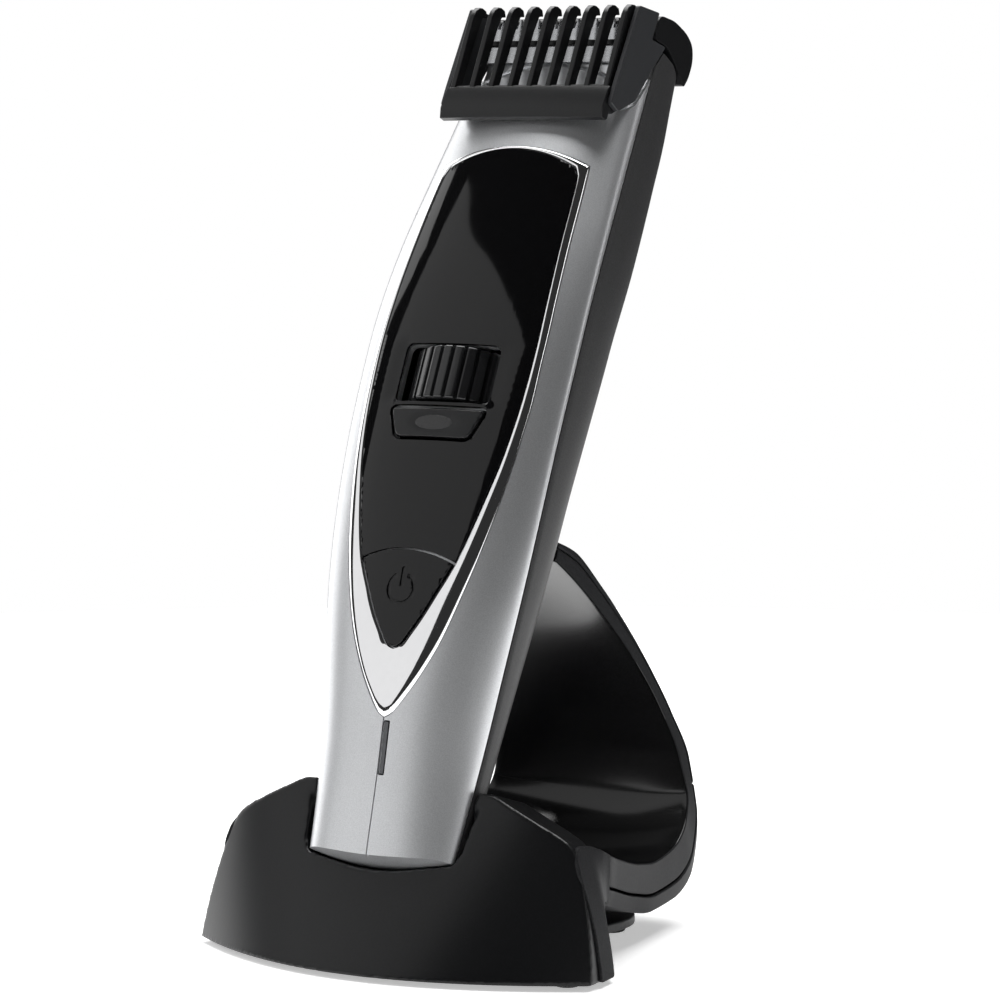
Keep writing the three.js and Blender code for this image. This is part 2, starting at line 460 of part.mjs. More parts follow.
const jack = () => box(-4.1, 4.1, 3, 13.2, 7.2, 11.8).subtract(rodY(0, 9.5, 6.6, 14, 1.75));
const jackPin = () => rodY(0, 9.5, 6.9, 11.9, 0.5, 12);
function basePlate() {                // weighted tongue under the stand
  const p = [];
  for (let i = 0; i <= 12; i++) { const a = -1 + i / 6; p.push([41 * a, 2.9 - 14.6 * (1 - a * a)]); }
  p.push([38.4, 8.4], [34, 10.6], [24.8, 10.6], [23.6, 30], [24.2, 44]);
  for (let i = 1; i < 9; i++) { const a = i / 9 * Math.PI; p.push([24 * Math.cos(a), 46 + 17.5 * Math.sin(a)]); }
  p.push([-24.2, 44], [-23.6, 30], [-24.8, 10.6], [-34, 10.6], [-38.4, 8.4]);
  return shift(extrude(p, 2), [0, 0, 2.2]);
}
const foot = (x, y, r, h) => shift(cyl(r - 0.3, h, 24, r), [x, y, 0]);

// ---------- assembly ----------
const CENTRE_Y = 31.8;                // the row's origin: middle of the footprint, on the table
const root = new THREE.Group(), stand = new THREE.Group();
root.name = 'beard_trimmer_in_stand';
stand.name = 'stand_frame';
stand.position.y = -CENTRE_Y;
root.add(stand);
const trimmer = new THREE.Group();
trimmer.name = 'trimmer_frame';
trimmer.rotation.x = -LEAN;
trimmer.position.set(0, FOOT_Y, FOOT_Z);
stand.add(trimmer);

const LOOK = {
  silver: ['#b9bbbe', 0.34, 0.85], dark: ['#2c2e31', 0.55, 0.1], chrome: ['#e6e8ea', 0.06, 1],
  gloss: ['#08090a', 0.08, 0], satin: ['#101113', 0.32, 0], comb: ['#1b1c1e', 0.42, 0],
  cheek: ['#4a4c50', 0.45, 0.1], steel: ['#c2c6ca', 0.25, 1], rubber: ['#141414', 0.85, 0],
  board: ['#1d5a38', 0.6, 0], cell: ['#3a7a4c', 0.4, 0.1], can: ['#a8abb0', 0.3, 0.9],
  brass: ['#c79a4a', 0.3, 1], white: ['#dcdcd6', 0.5, 0], lens: ['#3b3f44', 0.2, 0],
};
function node(group, name, m, look) {
  const mesh = m.getMesh(), g = new THREE.BufferGeometry(), P = mesh.vertProperties, k = mesh.numProp;
  const pos = new Float32Array(P.length / k * 3);
  for (let i = 0; i < P.length / k; i++) for (let j = 0; j < 3; j++) pos[3 * i + j] = P[k * i + j];
  g.setAttribute('position', new THREE.BufferAttribute(pos, 3));
  g.setIndex(new THREE.BufferAttribute(new Uint32Array(mesh.triVerts), 1));
  const [color, roughness, metalness] = LOOK[look];
  const out = new THREE.Mesh(toCreasedNormals(g, 0.6),
    new THREE.MeshStandardMaterial({ color, roughness, metalness }));
  out.name = name;
  group.add(out);
}
const T = (name, m, look) => node(trimmer, name, m, look);
const S = (name, m, look) => node(stand, name, m, look);

T('handle_front_shell', frontShell(), 'silver');
T('handle_rear_shell', rearShell(), 'dark');
T('chrome_ring', chromeRing(), 'chrome');
T('gloss_panel', glossPanel(), 'gloss');
T('power_button', powerButton(), 'gloss');
T('lock_button', lockButton(), 'satin');
T('length_dial', dialWheel(), 'satin');
T('dial_spindle', dialScrew(), 'white');
T('comb_carriage', combCarriage(), 'satin');
T('rear_hood', hood(), 'satin');
T('comb', comb(), 'comb');
T('comb_cheek_left', cheek(-1), 'cheek');
T('comb_cheek_right', cheek(1), 'cheek');
T('head_plate', headPlate(), 'steel');
T('fixed_blade', fixedBlade(), 'steel');
T('moving_blade', movingBlade(), 'steel');
T('drive_yoke', driveYoke(), 'white');
T('crank', crank(), 'brass');
T('motor_shaft', motorShaft(), 'steel');
T('motor_can', motorCan(), 'can');
T('battery_left', cell(-1), 'cell');
T('battery_right', cell(1), 'cell');
T('circuit_board', circuitBoard(), 'board');
T('power_switch', tactSwitch(), 'white');
T('light_pipe', lightPipe(), 'lens');
T('led', ledBulb(), 'white');
T('charge_tab_left', chargeTab(-1), 'brass');
T('charge_tab_right', chargeTab(1), 'brass');
SCREWS.forEach(([x, v], i) => T('handle_screw_' + (i + 1), shellScrew(x, v), 'steel'));
S('stand_front', standFront(), 'satin');
S('cradle_inner', cradleInner(), 'gloss');
S('cradle_cover_lower', coverLow(), 'satin');
S('cradle_cover_upper', coverHigh(), 'satin');
S('base_plate', basePlate(), 'satin');
S('charge_socket', jack(), 'satin');
S('charge_socket_pin', jackPin(), 'steel');
S('foot_front_left', foot(-38.0, 2.2, 2.7, 1.8), 'rubber');
S('foot_front_right', foot(38.0, 2.2, 2.7, 1.8), 'rubber');
S('foot_rear_left', foot(-16, 53, 3.4, 1.8), 'rubber');
S('foot_rear_right', foot(16, 53, 3.4, 1.8), 'rubber');

export default root;
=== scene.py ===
import bpy, bmesh, math, json
import numpy as np
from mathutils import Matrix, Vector

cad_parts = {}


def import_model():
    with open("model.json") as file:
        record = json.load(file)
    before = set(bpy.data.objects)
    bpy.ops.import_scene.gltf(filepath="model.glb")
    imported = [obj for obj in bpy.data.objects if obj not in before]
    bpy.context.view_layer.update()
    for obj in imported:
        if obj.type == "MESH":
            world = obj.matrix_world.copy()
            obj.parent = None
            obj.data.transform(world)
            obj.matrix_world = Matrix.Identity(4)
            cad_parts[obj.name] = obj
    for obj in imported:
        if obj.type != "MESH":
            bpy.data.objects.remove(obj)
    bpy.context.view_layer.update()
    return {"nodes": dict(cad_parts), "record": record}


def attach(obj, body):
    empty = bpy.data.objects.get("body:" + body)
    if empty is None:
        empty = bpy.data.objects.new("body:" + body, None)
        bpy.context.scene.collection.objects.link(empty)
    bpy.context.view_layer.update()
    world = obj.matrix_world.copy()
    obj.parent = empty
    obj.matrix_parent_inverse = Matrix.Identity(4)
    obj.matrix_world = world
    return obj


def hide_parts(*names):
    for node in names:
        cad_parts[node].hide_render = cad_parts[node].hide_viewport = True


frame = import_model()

# Beard trimmer in its charging stand. Lengths below are millimetres; meshes are written in metres.
# Trimmer coordinates: x right, v along the handle, w out of its front face.
MM = 0.001
CY, LEAN, FOOT_Y, FOOT_Z = 31.8, math.radians(24), 0.5, 17.0
SN, CS = math.sin(LEAN), math.cos(LEAN)

HALF = [(0, 16.3), (12, 17.2), (24, 18.3), (39, 20.2), (55, 22.2), (71, 23.4), (87, 24.0),
        (104, 24.2), (121, 23.6), (138, 22.2), (152, 21.0), (165, 20.0), (185, 19.0)]
FRONT = [(0, 10.0), (3, 10.6), (17, 13.0), (27, 15.2), (40, 17.6), (52, 19.7), (68, 21.1),
         (84, 21.8), (100, 21.9), (115, 21.0), (130, 19.1), (143, 17.2), (151, 15.5), (165, 13.8), (185, 12.5)]
PART = [(0, 4.4), (12, 5.0), (24, 6.0), (39, 8.6), (55, 11.3), (71, 13.2), (87, 14.2),
        (104, 14.3), (121, 12.9), (138, 9.9), (152, 7.4), (165, 5.2), (185, 3)]
BACK = [(0, -3.4), (21, -3.9), (37, -3.4), (55, -2.9), (73, -2.8), (90, -3.7), (107, -5.0),
        (125, -6.0), (143, -6.7), (156, -7.0), (185, -7.0)]
NBACK = [(0, 3), (107, 3.3), (125, 4), (143, 5), (156, 6), (185, 6)]
PANEL = [(40, 0), (40.25, 0.9), (41, 1.9), (43, 3.3), (46, 5.2), (50, 7.3), (58, 10.9), (71, 14.4), (80, 16.2),
         (91, 17.3), (101, 17.6), (112, 17.2), (123, 16.5), (133, 15.8), (138.2, 15.2), (139.8, 14.2)]
RING = [(27.2, 0), (27.8, 1.2), (31, 3.8), (36, 6.9), (42.5, 10.0), (50, 12.5), (59, 14.9), (71.5, 17.3),
        (82, 18.6), (92, 19.2), (103, 19.2), (113, 18.8), (124, 18.1), (134, 17.4), (140.5, 16.8)]
TOPARC = 3.4
CW, DIAL_R, DIAL_V0, DIAL_V1 = 11, 12.3, 88.9, 99.7
LOCK = [(-10.6, 86.9), (-8.2, 81.2), (8.2, 81.2), (10.6, 86.9)]
FRONT_TOP, REAR_TOP = 163, 170.6
FRONT_POWER = 2.15                      # roundness of the front half's section
PANEL_TOP, RING_TOP = 139.8, 140.5
FRONT_WALL, REAR_WALL = 2.4, 1.9
POWER_TOP, POWER_ARC, ICON_V = 57.0, 2.1, 51.4
LOCK_V = 84.1                           # middle of the lock button
SCREWS = [(-9, 70), (9, 70), (0, 148)]  # rear shell screws, x and v
CONTACT_X = 6                           # charging contacts, each side of the middle
# comb, blades and hood
TEETH, TOOTH_PITCH, TOOTH_HALF = 9, 4.45, 0.62
CHEEK_IN, CHEEK_OUT, HOOD_HALF = 18.9, 19.95, 19.8
HEAD_HALF, HEAD_V0, HEAD_V1, ARCH_V, ARCH_RISE = 15.2, 157.6, 167.2, 160.6, 3.4
# stand
BASE_HALF, BULGE, BASE_RISE, BLOCK_BACK = 45, 16.4, 34, 13.5
BLOCK_Z0, BLOCK_Z1, BLOCK_WALL, DECK_FALL = 0.9, 36, 2.2, 0.27
SKIN_IN, SEAM = 0.12, 0.12
BOWL_DEPTH, COVER_DEPTH, NOTCH_ROW = 0.62, 0.66, 8.48
INLET_Z = 9.5


# ---------------------------------------------------------------- shape helpers
def curve(t, v):
    """Smooth monotone interpolation through a table of (v, value); v may be an array."""
    X = np.array([a for a, _ in t], float)
    Y = np.array([b for _, b in t], float)
    d = np.diff(Y) / np.diff(X)
    m = np.concatenate([[d[0]], np.where(d[:-1] * d[1:] > 0, 2 * d[:-1] * d[1:] / (d[:-1] + d[1:] + 1e-12), 0),
                        [d[-1]]])
    q = np.clip(np.asarray(v, float), X[0], X[-1])
    i = np.clip(np.searchsorted(X, q) - 1, 0, len(X) - 2)
    h = X[i + 1] - X[i]
    s = (q - X[i]) / h
    s2, s3 = s * s, s * s * s
    return ((2 * s3 - 3 * s2 + 1) * Y[i] + (s3 - 2 * s2 + s) * h * m[i]
            + (3 * s2 - 2 * s3) * Y[i + 1] + (s3 - s2) * h * m[i + 1])


def soft(t, v, reach=9.0):
    """The table's curve with its curvature evened out along the handle."""
    q = np.asarray(v, float)
    k = np.linspace(-1, 1, 9)
    wt = (1 - k * k) + 1e-9
    wt /= wt.sum()
    span = np.minimum(reach, np.maximum(q - t[0][0], 0.0))
    return sum(a * curve(t, q + b * span) for a, b in zip(wt, k))


def world(p):
    """Trimmer coordinates (x, v, w) in mm to the row frame in metres."""
    p = np.asarray(p, float)
    x, v, w = p[..., 0], p[..., 1], p[..., 2]
    return np.stack([x, FOOT_Y - CY + v * SN - w * CS, FOOT_Z + v * CS + w * SN], -1) * MM


def stand(p):
    """Stand coordinates (x, y, z) in mm, front corners near y = 0, to the row frame in metres."""
    p = np.asarray(p, float)
    return (p + np.array([0, -CY, 0])) * MM


def resample(P, n, closed=False):
    P = np.asarray(P, float)
    if closed:
        P = np.vstack([P, P[:1]])
    L = np.concatenate([[0], np.cumsum(np.linalg.norm(np.diff(P, axis=0), axis=1))])
    q = np.linspace(0, L[-1], n + 1)[:-1] if closed else np.linspace(0, L[-1], n)
    return np.stack([np.interp(q, L, P[:, k]) for k in range(P.shape[1])], 1)


def mesh_object(name, verts, faces, smooth=True):
    me = bpy.data.meshes.new(name)
    me.from_pydata([tuple(map(float, p)) for p in verts], [], [tuple(map(int, f)) for f in faces])
    me.update()
    ob = bpy.data.objects.new(name, me)
    bpy.context.scene.collection.objects.link(ob)
    if smooth:
        me.shade_smooth()
    return ob


def outward(ob):
    bm = bmesh.new()
    bm.from_mesh(ob.data)
    bmesh.ops.recalc_face_normals(bm, faces=bm.faces)
    bm.to_mesh(ob.data)
    bm.free()
    return ob


def loft(name, rings, to=world, cap=True):
    """A skin through rings of equal point count, with flat ends."""
    R = [np.asarray(r, float) for r in rings]
    n, k = len(R[0]), len(R)
    V = to(np.vstack(R))
    F = []
    for a in range(k - 1):
        for i in range(n):
            j = (i + 1) % n
            F.append((a * n + i, a * n + j, (a + 1) * n + j, (a + 1) * n + i))
    if cap:
        F.append(tuple(range(n))[::-1])
        F.append(tuple((k - 1) * n + i for i in range(n)))
    return outward(mesh_object(name, V, F))


def prism(name, pts, a, b, to, order):
    """Outline pts extruded from a to b. order says where (p, q, depth) go in the target axes."""
    pts = list(pts)
    n = len(pts)
    V = []
    for d in (a, b):
        for p, q in pts:
            c = {"p": p, "q": q, "d": d}
            V.append([c[k] for k in order])
    F = [tuple(range(n))[::-1], tuple(range(n, 2 * n))]
    F += [(i, (i + 1) % n, n + (i + 1) % n, n + i) for i in range(n)]
    return outward(mesh_object(name, to(np.array(V, float)), F, smooth=False))


def plate_xv(name, pts, w0, w1):
    return prism(name, pts, w0, w1, world, "pqd")


def plate_wv(name, pts, x0, x1):
    return prism(name, pts, x0, x1, world, "dqp")


def box_t(x0, x1, v0, v1, w0, w1):
    return plate_xv("tool", [(x0, v0), (x1, v0), (x1, v1), (x0, v1)], w0, w1)


def circle(r, n=48, cx=0, cy=0):
    return [(cx + r * math.cos(2 * math.pi * i / n), cy + r * math.sin(2 * math.pi * i / n)) for i in range(n)]


def drop(ob):
    me = ob.data
    bpy.data.objects.remove(ob)
    if me.users == 0:
        bpy.data.meshes.remove(me)


def bake(ob):
    """Applies the modifiers of ob."""
    dg = bpy.context.evaluated_depsgraph_get()
    me = bpy.data.meshes.new_from_object(ob.evaluated_get(dg))
    old = ob.data
    ob.modifiers.clear()
    ob.data = me
    bpy.data.meshes.remove(old)
    return ob


def combine(a, b, op):
    """Boolean of a with b, which is used up."""
    m = a.modifiers.new("b", "BOOLEAN")
    m.operation, m.object = op, b
    m.solver = "MANIFOLD"
    bpy.context.view_layer.update()
    bake(a)
    drop(b)
    return a


def cut(a, *tools):
    for t in tools:
        combine(a, t, "DIFFERENCE")
    return a


def join(a, *others):
    for t in others:
        combine(a, t, "UNION")
    return a


def common(a, b):
    return combine(a, b, "INTERSECT")


def sharpen(ob, degrees=32):
    ob.data.shade_smooth()
    ob.data.set_sharp_from_angle(angle=math.radians(degrees))
    return ob


def bevel(ob, width, segments=3, angle=35):
    m = ob.modifiers.new("e", "BEVEL")
    m.width, m.segments, m.limit_method, m.angle_limit = width * MM, segments, "ANGLE", math.radians(angle)
    m.harden_normals = True
    m.use_clamp_overlap = True
    bpy.context.view_layer.update()
    return bake(ob)


def weld(ob, dist=1e-6):
    bm = bmesh.new()
    bm.from_mesh(ob.data)
    bmesh.ops.remove_doubles(bm, verts=bm.verts, dist=dist)
    bmesh.ops.dissolve_degenerate(bm, dist=1e-7, edges=bm.edges)
    bm.to_mesh(ob.data)
    bm.free()
    return ob


def soften(ob, voxel, rounds):
    """Rounds every edge a little: an even remesh, then smoothing."""
    m = ob.modifiers.new("r", "REMESH")
    m.mode, m.voxel_size, m.use_smooth_shade = "VOXEL", voxel * MM, True
    bpy.context.view_layer.update()
    bake(ob)
    m = ob.modifiers.new("s", "SMOOTH")
    m.factor, m.iterations = 0.5, rounds
    bpy.context.view_layer.update()
    bake(ob)
    ob.data.shade_smooth()
    return ob


def done(ob, body, *nodes, mat=None, slot=None):
    ob.data.materials.clear()
    ob.data.materials.append(mat)
    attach(ob, body)
    if nodes:
        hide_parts(*nodes)
    return ob


# ---------------------------------------------------------------- materials
def material(name, base, rough, metal=0.0, spec=0.5, coat=0.0, coat_rough=0.05, grain=None, bump=None,
             vary=0.0, rough_vary=0.0, cloud=14.0, aniso=0.0):
    """Moulded, lacquered or metal surface. grain: noise scale per metre of the fine colour speckle."""
    mt = bpy.data.materials.new(name)
    mt.use_nodes = True
    nt = mt.node_tree
    nt.nodes.clear()
    out = nt.nodes.new("ShaderNodeOutputMaterial")
    b = nt.nodes.new("ShaderNodeBsdfPrincipled")
    nt.links.new(b.outputs[0], out.inputs[0])
    b.inputs["Metallic"].default_value = metal
    b.inputs["Specular IOR Level"].default_value = spec
    b.inputs["Coat Weight"].default_value = coat
    b.inputs["Coat Roughness"].default_value = coat_rough
    b.inputs["Anisotropic"].default_value = aniso
    tc = nt.nodes.new("ShaderNodeTexCoord")

    def noise(scale, detail=2.0, rough=0.5):
        n = nt.nodes.new("ShaderNodeTexNoise")
        n.inputs["Scale"].default_value = scale
        n.inputs["Detail"].default_value = detail
        n.inputs["Roughness"].default_value = rough
        nt.links.new(tc.outputs["Object"], n.inputs["Vector"])
        return n.outputs["Fac"]

    def ramp(src, lo, hi, p0=0.3, p1=0.7):
        r = nt.nodes.new("ShaderNodeValToRGB")
        r.color_ramp.elements[0].position, r.color_ramp.elements[1].position = p0, p1
        r.color_ramp.elements[0].color, r.color_ramp.elements[1].color = lo, hi
        nt.links.new(src, r.inputs[0])
        return r.outputs[0]

    def shade(k):
        return tuple(min(1.0, c * k) for c in base) + (1.0,)

    speck = ramp(noise(grain or 900.0, 2.0), shade(1 - vary), shade(1 + vary))
    wide = ramp(noise(cloud, 3.0), (0.94, 0.94, 0.94, 1), (1.0, 1.0, 1.0, 1), 0.35, 0.65)
    mix = nt.nodes.new("ShaderNodeMix")
    mix.data_type, mix.blend_type = "RGBA", "MULTIPLY"
    mix.inputs[0].default_value = 1.0
    nt.links.new(speck, mix.inputs["A"])
    nt.links.new(wide, mix.inputs["B"])
    nt.links.new(mix.outputs["Result"], b.inputs["Base Color"])
    mr = nt.nodes.new("ShaderNodeMapRange")
    mr.inputs["To Min"].default_value = max(0.0, rough - rough_vary)
    mr.inputs["To Max"].default_value = rough + rough_vary
    nt.links.new(noise((grain or 900.0) * 0.6, 3.0), mr.inputs["Value"])
    nt.links.new(mr.outputs[0], b.inputs["Roughness"])
    if bump:
        bn = nt.nodes.new("ShaderNodeBump")
        bn.inputs["Strength"].default_value = bump[1]
        bn.inputs["Distance"].default_value = bump[2] * MM
        nt.links.new(noise(bump[0], 2.0, 0.6), bn.inputs["Height"])
        nt.links.new(bn.outputs[0], b.inputs["Normal"])
    return mt


SILVER = material("silver_lacquer", (0.66, 0.67, 0.685), 0.36, 0.80, grain=5200, vary=0.10, rough_vary=0.05,
                  bump=(5200, 0.12, 0.02), coat=0.35, coat_rough=0.12)
DARK = material("dark_grip", (0.030, 0.030, 0.031), 0.46, 0.0, spec=0.40, grain=4200, vary=0.35, rough_vary=0.07,
                bump=(3400, 0.35, 0.05))
CHROME = material("mirror_chrome", (0.90, 0.90, 0.91), 0.05, 1.0, grain=700, vary=0.01, rough_vary=0.015)
GLOSS = material("gloss_black", (0.0030, 0.0030, 0.0034), 0.05, 0.0, spec=0.34, grain=600, vary=0.1, rough_vary=0.012)
SATIN = material("satin_black", (0.0060, 0.0062, 0.0070), 0.34, 0.0, spec=0.34, grain=3000, vary=0.2,
                 rough_vary=0.04, bump=(3200, 0.10, 0.02))
STAND = material("stand_black", (0.0055, 0.0057, 0.0064), 0.31, 0.0, spec=0.30, grain=2600, vary=0.2,
                 rough_vary=0.03, bump=(2400, 0.05, 0.015))
RIM = material("rim_black", (0.022, 0.0222, 0.0235), 0.42, 0.0, spec=0.03, grain=2600, vary=0.2, rough_vary=0.03,
               bump=(2400, 0.05, 0.015))
BOWL = material("bowl_black", (0.0035, 0.0036, 0.004), 0.17, 0.0, spec=0.36, grain=1500, vary=0.15, rough_vary=0.02,
                coat=0.1, coat_rough=0.08)
COMB = material("comb_black", (0.0075, 0.0078, 0.0085), 0.33, 0.0, spec=0.36, grain=3000, vary=0.2, rough_vary=0.05,
                bump=(2600, 0.12, 0.02))
CHEEK = material("cheek_grey", (0.030, 0.031, 0.034), 0.38, 0.0, spec=0.4, grain=3600, vary=0.12, rough_vary=0.05,
                 bump=(3600, 0.15, 0.02))
STEEL = material("blade_steel", (0.62, 0.63, 0.65), 0.27, 1.0, grain=2600, vary=0.06, rough_vary=0.05,
                 bump=(2600, 0.08, 0.01), aniso=0.4)
PLATE = material("head_metal", (0.70, 0.71, 0.73), 0.30, 0.9, grain=3600, vary=0.06, rough_vary=0.05,
                 bump=(3600, 0.08, 0.01))
WHITE = material("inner_white", (0.78, 0.78, 0.76), 0.45, 0.0, grain=1800, vary=0.03, rough_vary=0.04)
CELL = material("cell_sleeve", (0.05, 0.22, 0.11), 0.30, 0.0, grain=900, vary=0.05, rough_vary=0.04)
CAN = material("motor_case", (0.56, 0.57, 0.60), 0.30, 1.0, grain=2600, vary=0.05, rough_vary=0.05)
BOARD = material("board_green", (0.02, 0.16, 0.08), 0.42, 0.0, grain=700, vary=0.2, rough_vary=0.06)
BRASS = material("contact_brass", (0.78, 0.53, 0.22), 0.26, 1.0, grain=1800, vary=0.06, rough_vary=0.05)
LENS = material("smoke_lens", (0.055, 0.058, 0.064), 0.14, 0.0, grain=1600, vary=0.15, rough_vary=0.03, coat=0.5)
PAD = material("pad_grey", (0.022, 0.022, 0.0225), 0.42, 0.0, grain=3600, vary=0.15, rough_vary=0.05)
DIALBLACK = material("dial_black", (0.010, 0.0102, 0.011), 0.24, 0.0, grain=3000, vary=0.2, rough_vary=0.04)
RUBBER = material("foot_rubber", (0.012, 0.012, 0.012), 0.8, 0.0, spec=0.3, grain=2600, vary=0.2, rough_vary=0.08,
                  bump=(2600, 0.4, 0.05))
WEIGHT = material("weight_plate", (0.014, 0.014, 0.015), 0.5, 0.0, grain=2200, vary=0.25, rough_vary=0.08,
                  bump=(1800, 0.35, 0.04))

SLOT = {s["node"]: s["material_slot"] for s in frame["record"]["subparts"]}
for nodes, mt in (("comb_carriage length_dial charge_socket", SATIN),
                  ("dial_spindle drive_yoke power_switch led", WHITE),
                  ("battery_left battery_right", CELL), ("motor_can", CAN), ("circuit_board", BOARD),
                  ("charge_tab_left charge_tab_right crank", BRASS), ("light_pipe", LENS),
                  ("motor_shaft charge_socket_pin handle_screw_1 handle_screw_2 handle_screw_3", STEEL),
                  ("base_plate", WEIGHT), ("head_plate", PLATE), ("moving_blade fixed_blade", STEEL),
                  ("foot_front_left foot_front_right foot_rear_left foot_rear_right", RUBBER),
                  ("comb", COMB), ("comb_cheek_left comb_cheek_right", CHEEK), ("rear_hood lock_button", SATIN),
                  ("handle_front_shell", SILVER), ("handle_rear_shell", DARK), ("chrome_ring", CHROME),
                  ("gloss_panel power_button", GLOSS), ("stand_front cradle_cover_lower cradle_cover_upper", STAND),
                  ("cradle_inner", BOWL)):
    for nm in nodes.split():
        o = frame["nodes"][nm]
        o.data.materials.clear()
        o.data.materials.append(mt)


# ---------------------------------------------------------------- camera, floor and light
AZ, EL, DIST = math.radians(33), math.radians(4.77), 0.760
TARGET = Vector((0.02607, -0.03412, 0.09025))
cam_data = bpy.data.cameras.new("camera")
cam_data.sensor_width, cam_data.lens = 36.0, 148.3
cam_data.clip_start, cam_data.clip_end = 0.01, 20
cam = bpy.data.objects.new("camera", cam_data)
bpy.context.scene.collection.objects.link(cam)
cam.location = TARGET + DIST * Vector((math.sin(AZ) * math.cos(EL), -math.cos(AZ) * math.cos(EL), math.sin(EL)))
cam.rotation_euler = (TARGET - cam.location).to_track_quat("-Z", "Y").to_euler()
bpy.context.scene.camera = cam

FLOOR_R, FLOOR_GLOW = 0.6, 0.45
floor_me = bpy.data.meshes.new("floor")
floor_me.from_pydata([(x, y, 0) for x, y in circle(FLOOR_R, 96)], [],
                     [tuple(range(96))])
floor = bpy.data.objects.new("floor", floor_me)
bpy.context.scene.collection.objects.link(floor)
paper = material("floor_paper", (0.93, 0.93, 0.93), 0.6, 0.0, spec=0.2, grain=200, vary=0.005, cloud=2.0)
glow = [n for n in paper.node_tree.nodes if n.bl_idname == "ShaderNodeBsdfPrincipled"][0]
glow.inputs["Emission Color"].default_value = (1, 1, 1, 1)
glow.inputs["Emission Strength"].default_value = FLOOR_GLOW
floor.data.materials.append(paper)


def lamp(name, place, aim, size, size_y, power):
    """Soft rectangular lamp turned towards aim; metres and watts."""
    d = bpy.data.lights.new(name, "AREA")
    d.shape, d.size, d.size_y, d.energy = "RECTANGLE", size, size_y, power
    o = bpy.data.objects.new(name, d)
    bpy.context.scene.collection.objects.link(o)
    o.location = place
    o.rotation_euler = (Vector(aim) - Vector(place)).to_track_quat("-Z", "Y").to_euler()
    return o


lamp("top", (-0.15, 0.36, 1.15), (0, 0.05, 0), 1.3, 1.05, 24)
lamp("soft_front_left", (-0.62, -0.72, 0.52), (0, 0, 0.09), 1.0, 0.95, 2.6)
lamp("far_left", (-0.95, 0.18, 0.26), (0, 0, 0.08), 0.7, 1.1, 4.6)
lamp("edge_strip", (0.80, 0.40, 0.14), (0, 0, 0.09), 0.10, 0.9, 0.8)

SEEN_WHITE, ROOM_LIGHT, ROOM_SHINE = 1.0, 0.12, 0.03   # world strength: behind the object, on it, mirrored in it
wd = bpy.data.worlds.new("studio")
bpy.context.scene.world = wd
wd.use_nodes = True
nt = wd.node_tree
nt.nodes.clear()
wo = nt.nodes.new("ShaderNodeOutputWorld")
seen = nt.nodes.new("ShaderNodeBackground")
seen.inputs[0].default_value, seen.inputs[1].default_value = (1, 1, 1, 1), SEEN_WHITE
dim = nt.nodes.new("ShaderNodeBackground")
dim.inputs[0].default_value, dim.inputs[1].default_value = (1, 1, 1, 1), ROOM_LIGHT
shine = nt.nodes.new("ShaderNodeBackground")
shine.inputs[0].default_value, shine.inputs[1].default_value = (1, 1, 1, 1), ROOM_SHINE
ray = nt.nodes.new("ShaderNodeLightPath")
ground = nt.nodes.new("ShaderNodeMixShader")
nt.links.new(ray.outputs["Is Glossy Ray"], ground.inputs[0])
nt.links.new(dim.outputs[0], ground.inputs[1])
nt.links.new(shine.outputs[0], ground.inputs[2])
pick = nt.nodes.new("ShaderNodeMixShader")
nt.links.new(ray.outputs["Is Camera Ray"], pick.inputs[0])
nt.links.new(ground.outputs[0], pick.inputs[1])
nt.links.new(seen.outputs[0], pick.inputs[2])
nt.links.new(pick.outputs[0], wo.inputs[0])
bpy.context.scene.view_settings.view_transform = "Standard"

# ---------------------------------------------------------------- handle
def half_curve(v, off, front, n, lip=0.0):
    """One half of the handle's section at v, from the right parting edge to the left one: x, w."""
    a, p = float(soft(HALF, v)) + off, float(soft(PART, v))
    h = (float(soft(FRONT, v)) + off - p) if front else (p - float(curve(BACK, v)) + off)
    k = FRONT_POWER if front else float(curve(NBACK, v))
    t = np.linspace(0, np.pi, 500)
    c, s = np.cos(t), np.abs(np.sin(t))
    P = resample(np.stack([a * np.sign(c) * np.abs(c) ** (2 / k), h * s ** (2 / k)], 1), n)
    x, w = P[:, 0], P[:, 1]
    if lip:
        e = np.clip(1 - w / 0.9, 0, 1)
        x = x - np.sign(x) * lip * e * e
    w = 0.15 + w * (h - 0.15) / h if lip else w
    return x, (p + w if front else p - w)


def full_ring(v, off, n=64, at=None):
    xf, wf = half_curve(v, off, True, n)
    xb, wb = half_curve(v, off, False, n)
    x, w = np.concatenate([xf, xb[::-1][1:-1]]), np.concatenate([wf, wb[::-1][1:-1]])
    return np.stack([x, np.full_like(x, v if at is None else at), w], 1)


def handle(name, off, v0, v1, count=40, n=64):
    """Whole handle grown by off, as a solid to cut with."""
    return loft(name, [full_ring(v, off, n) for v in np.linspace(v0, v1, count)])


def half_body(name, front, v1, rows, n):
    """Solid front or rear half of the handle with a fine groove at the parting line."""
    rings = []
    for v in np.linspace(0, v1, rows):
        x, w = half_curve(v, 0, front, n, lip=0.34)
        rings.append(np.stack([x, np.full_like(x, v), w], 1))
    return loft(name, rings)


def smooth_outline(table, v_top, n=90, arc=24):
    """Closed outline (x, v) of panel or ring: pointed at the bottom, arched at the top."""
    v0, v1 = table[0][0], table[-1][0]
    vs = v0 + (v1 - v0) * np.linspace(0, 1, n) ** 1.8
    xs = curve([(a, b) for a, b in table], vs)
    vs[-1] = v_top
    right = np.stack([xs, vs], 1)
    a = np.linspace(1, -1, arc + 2)[1:-1]
    top = np.stack([xs[-1] * a, v_top + TOPARC * (1 - a * a)], 1)
    left = right[1:][::-1] * np.array([-1, 1])
    return np.vstack([right, top, left])


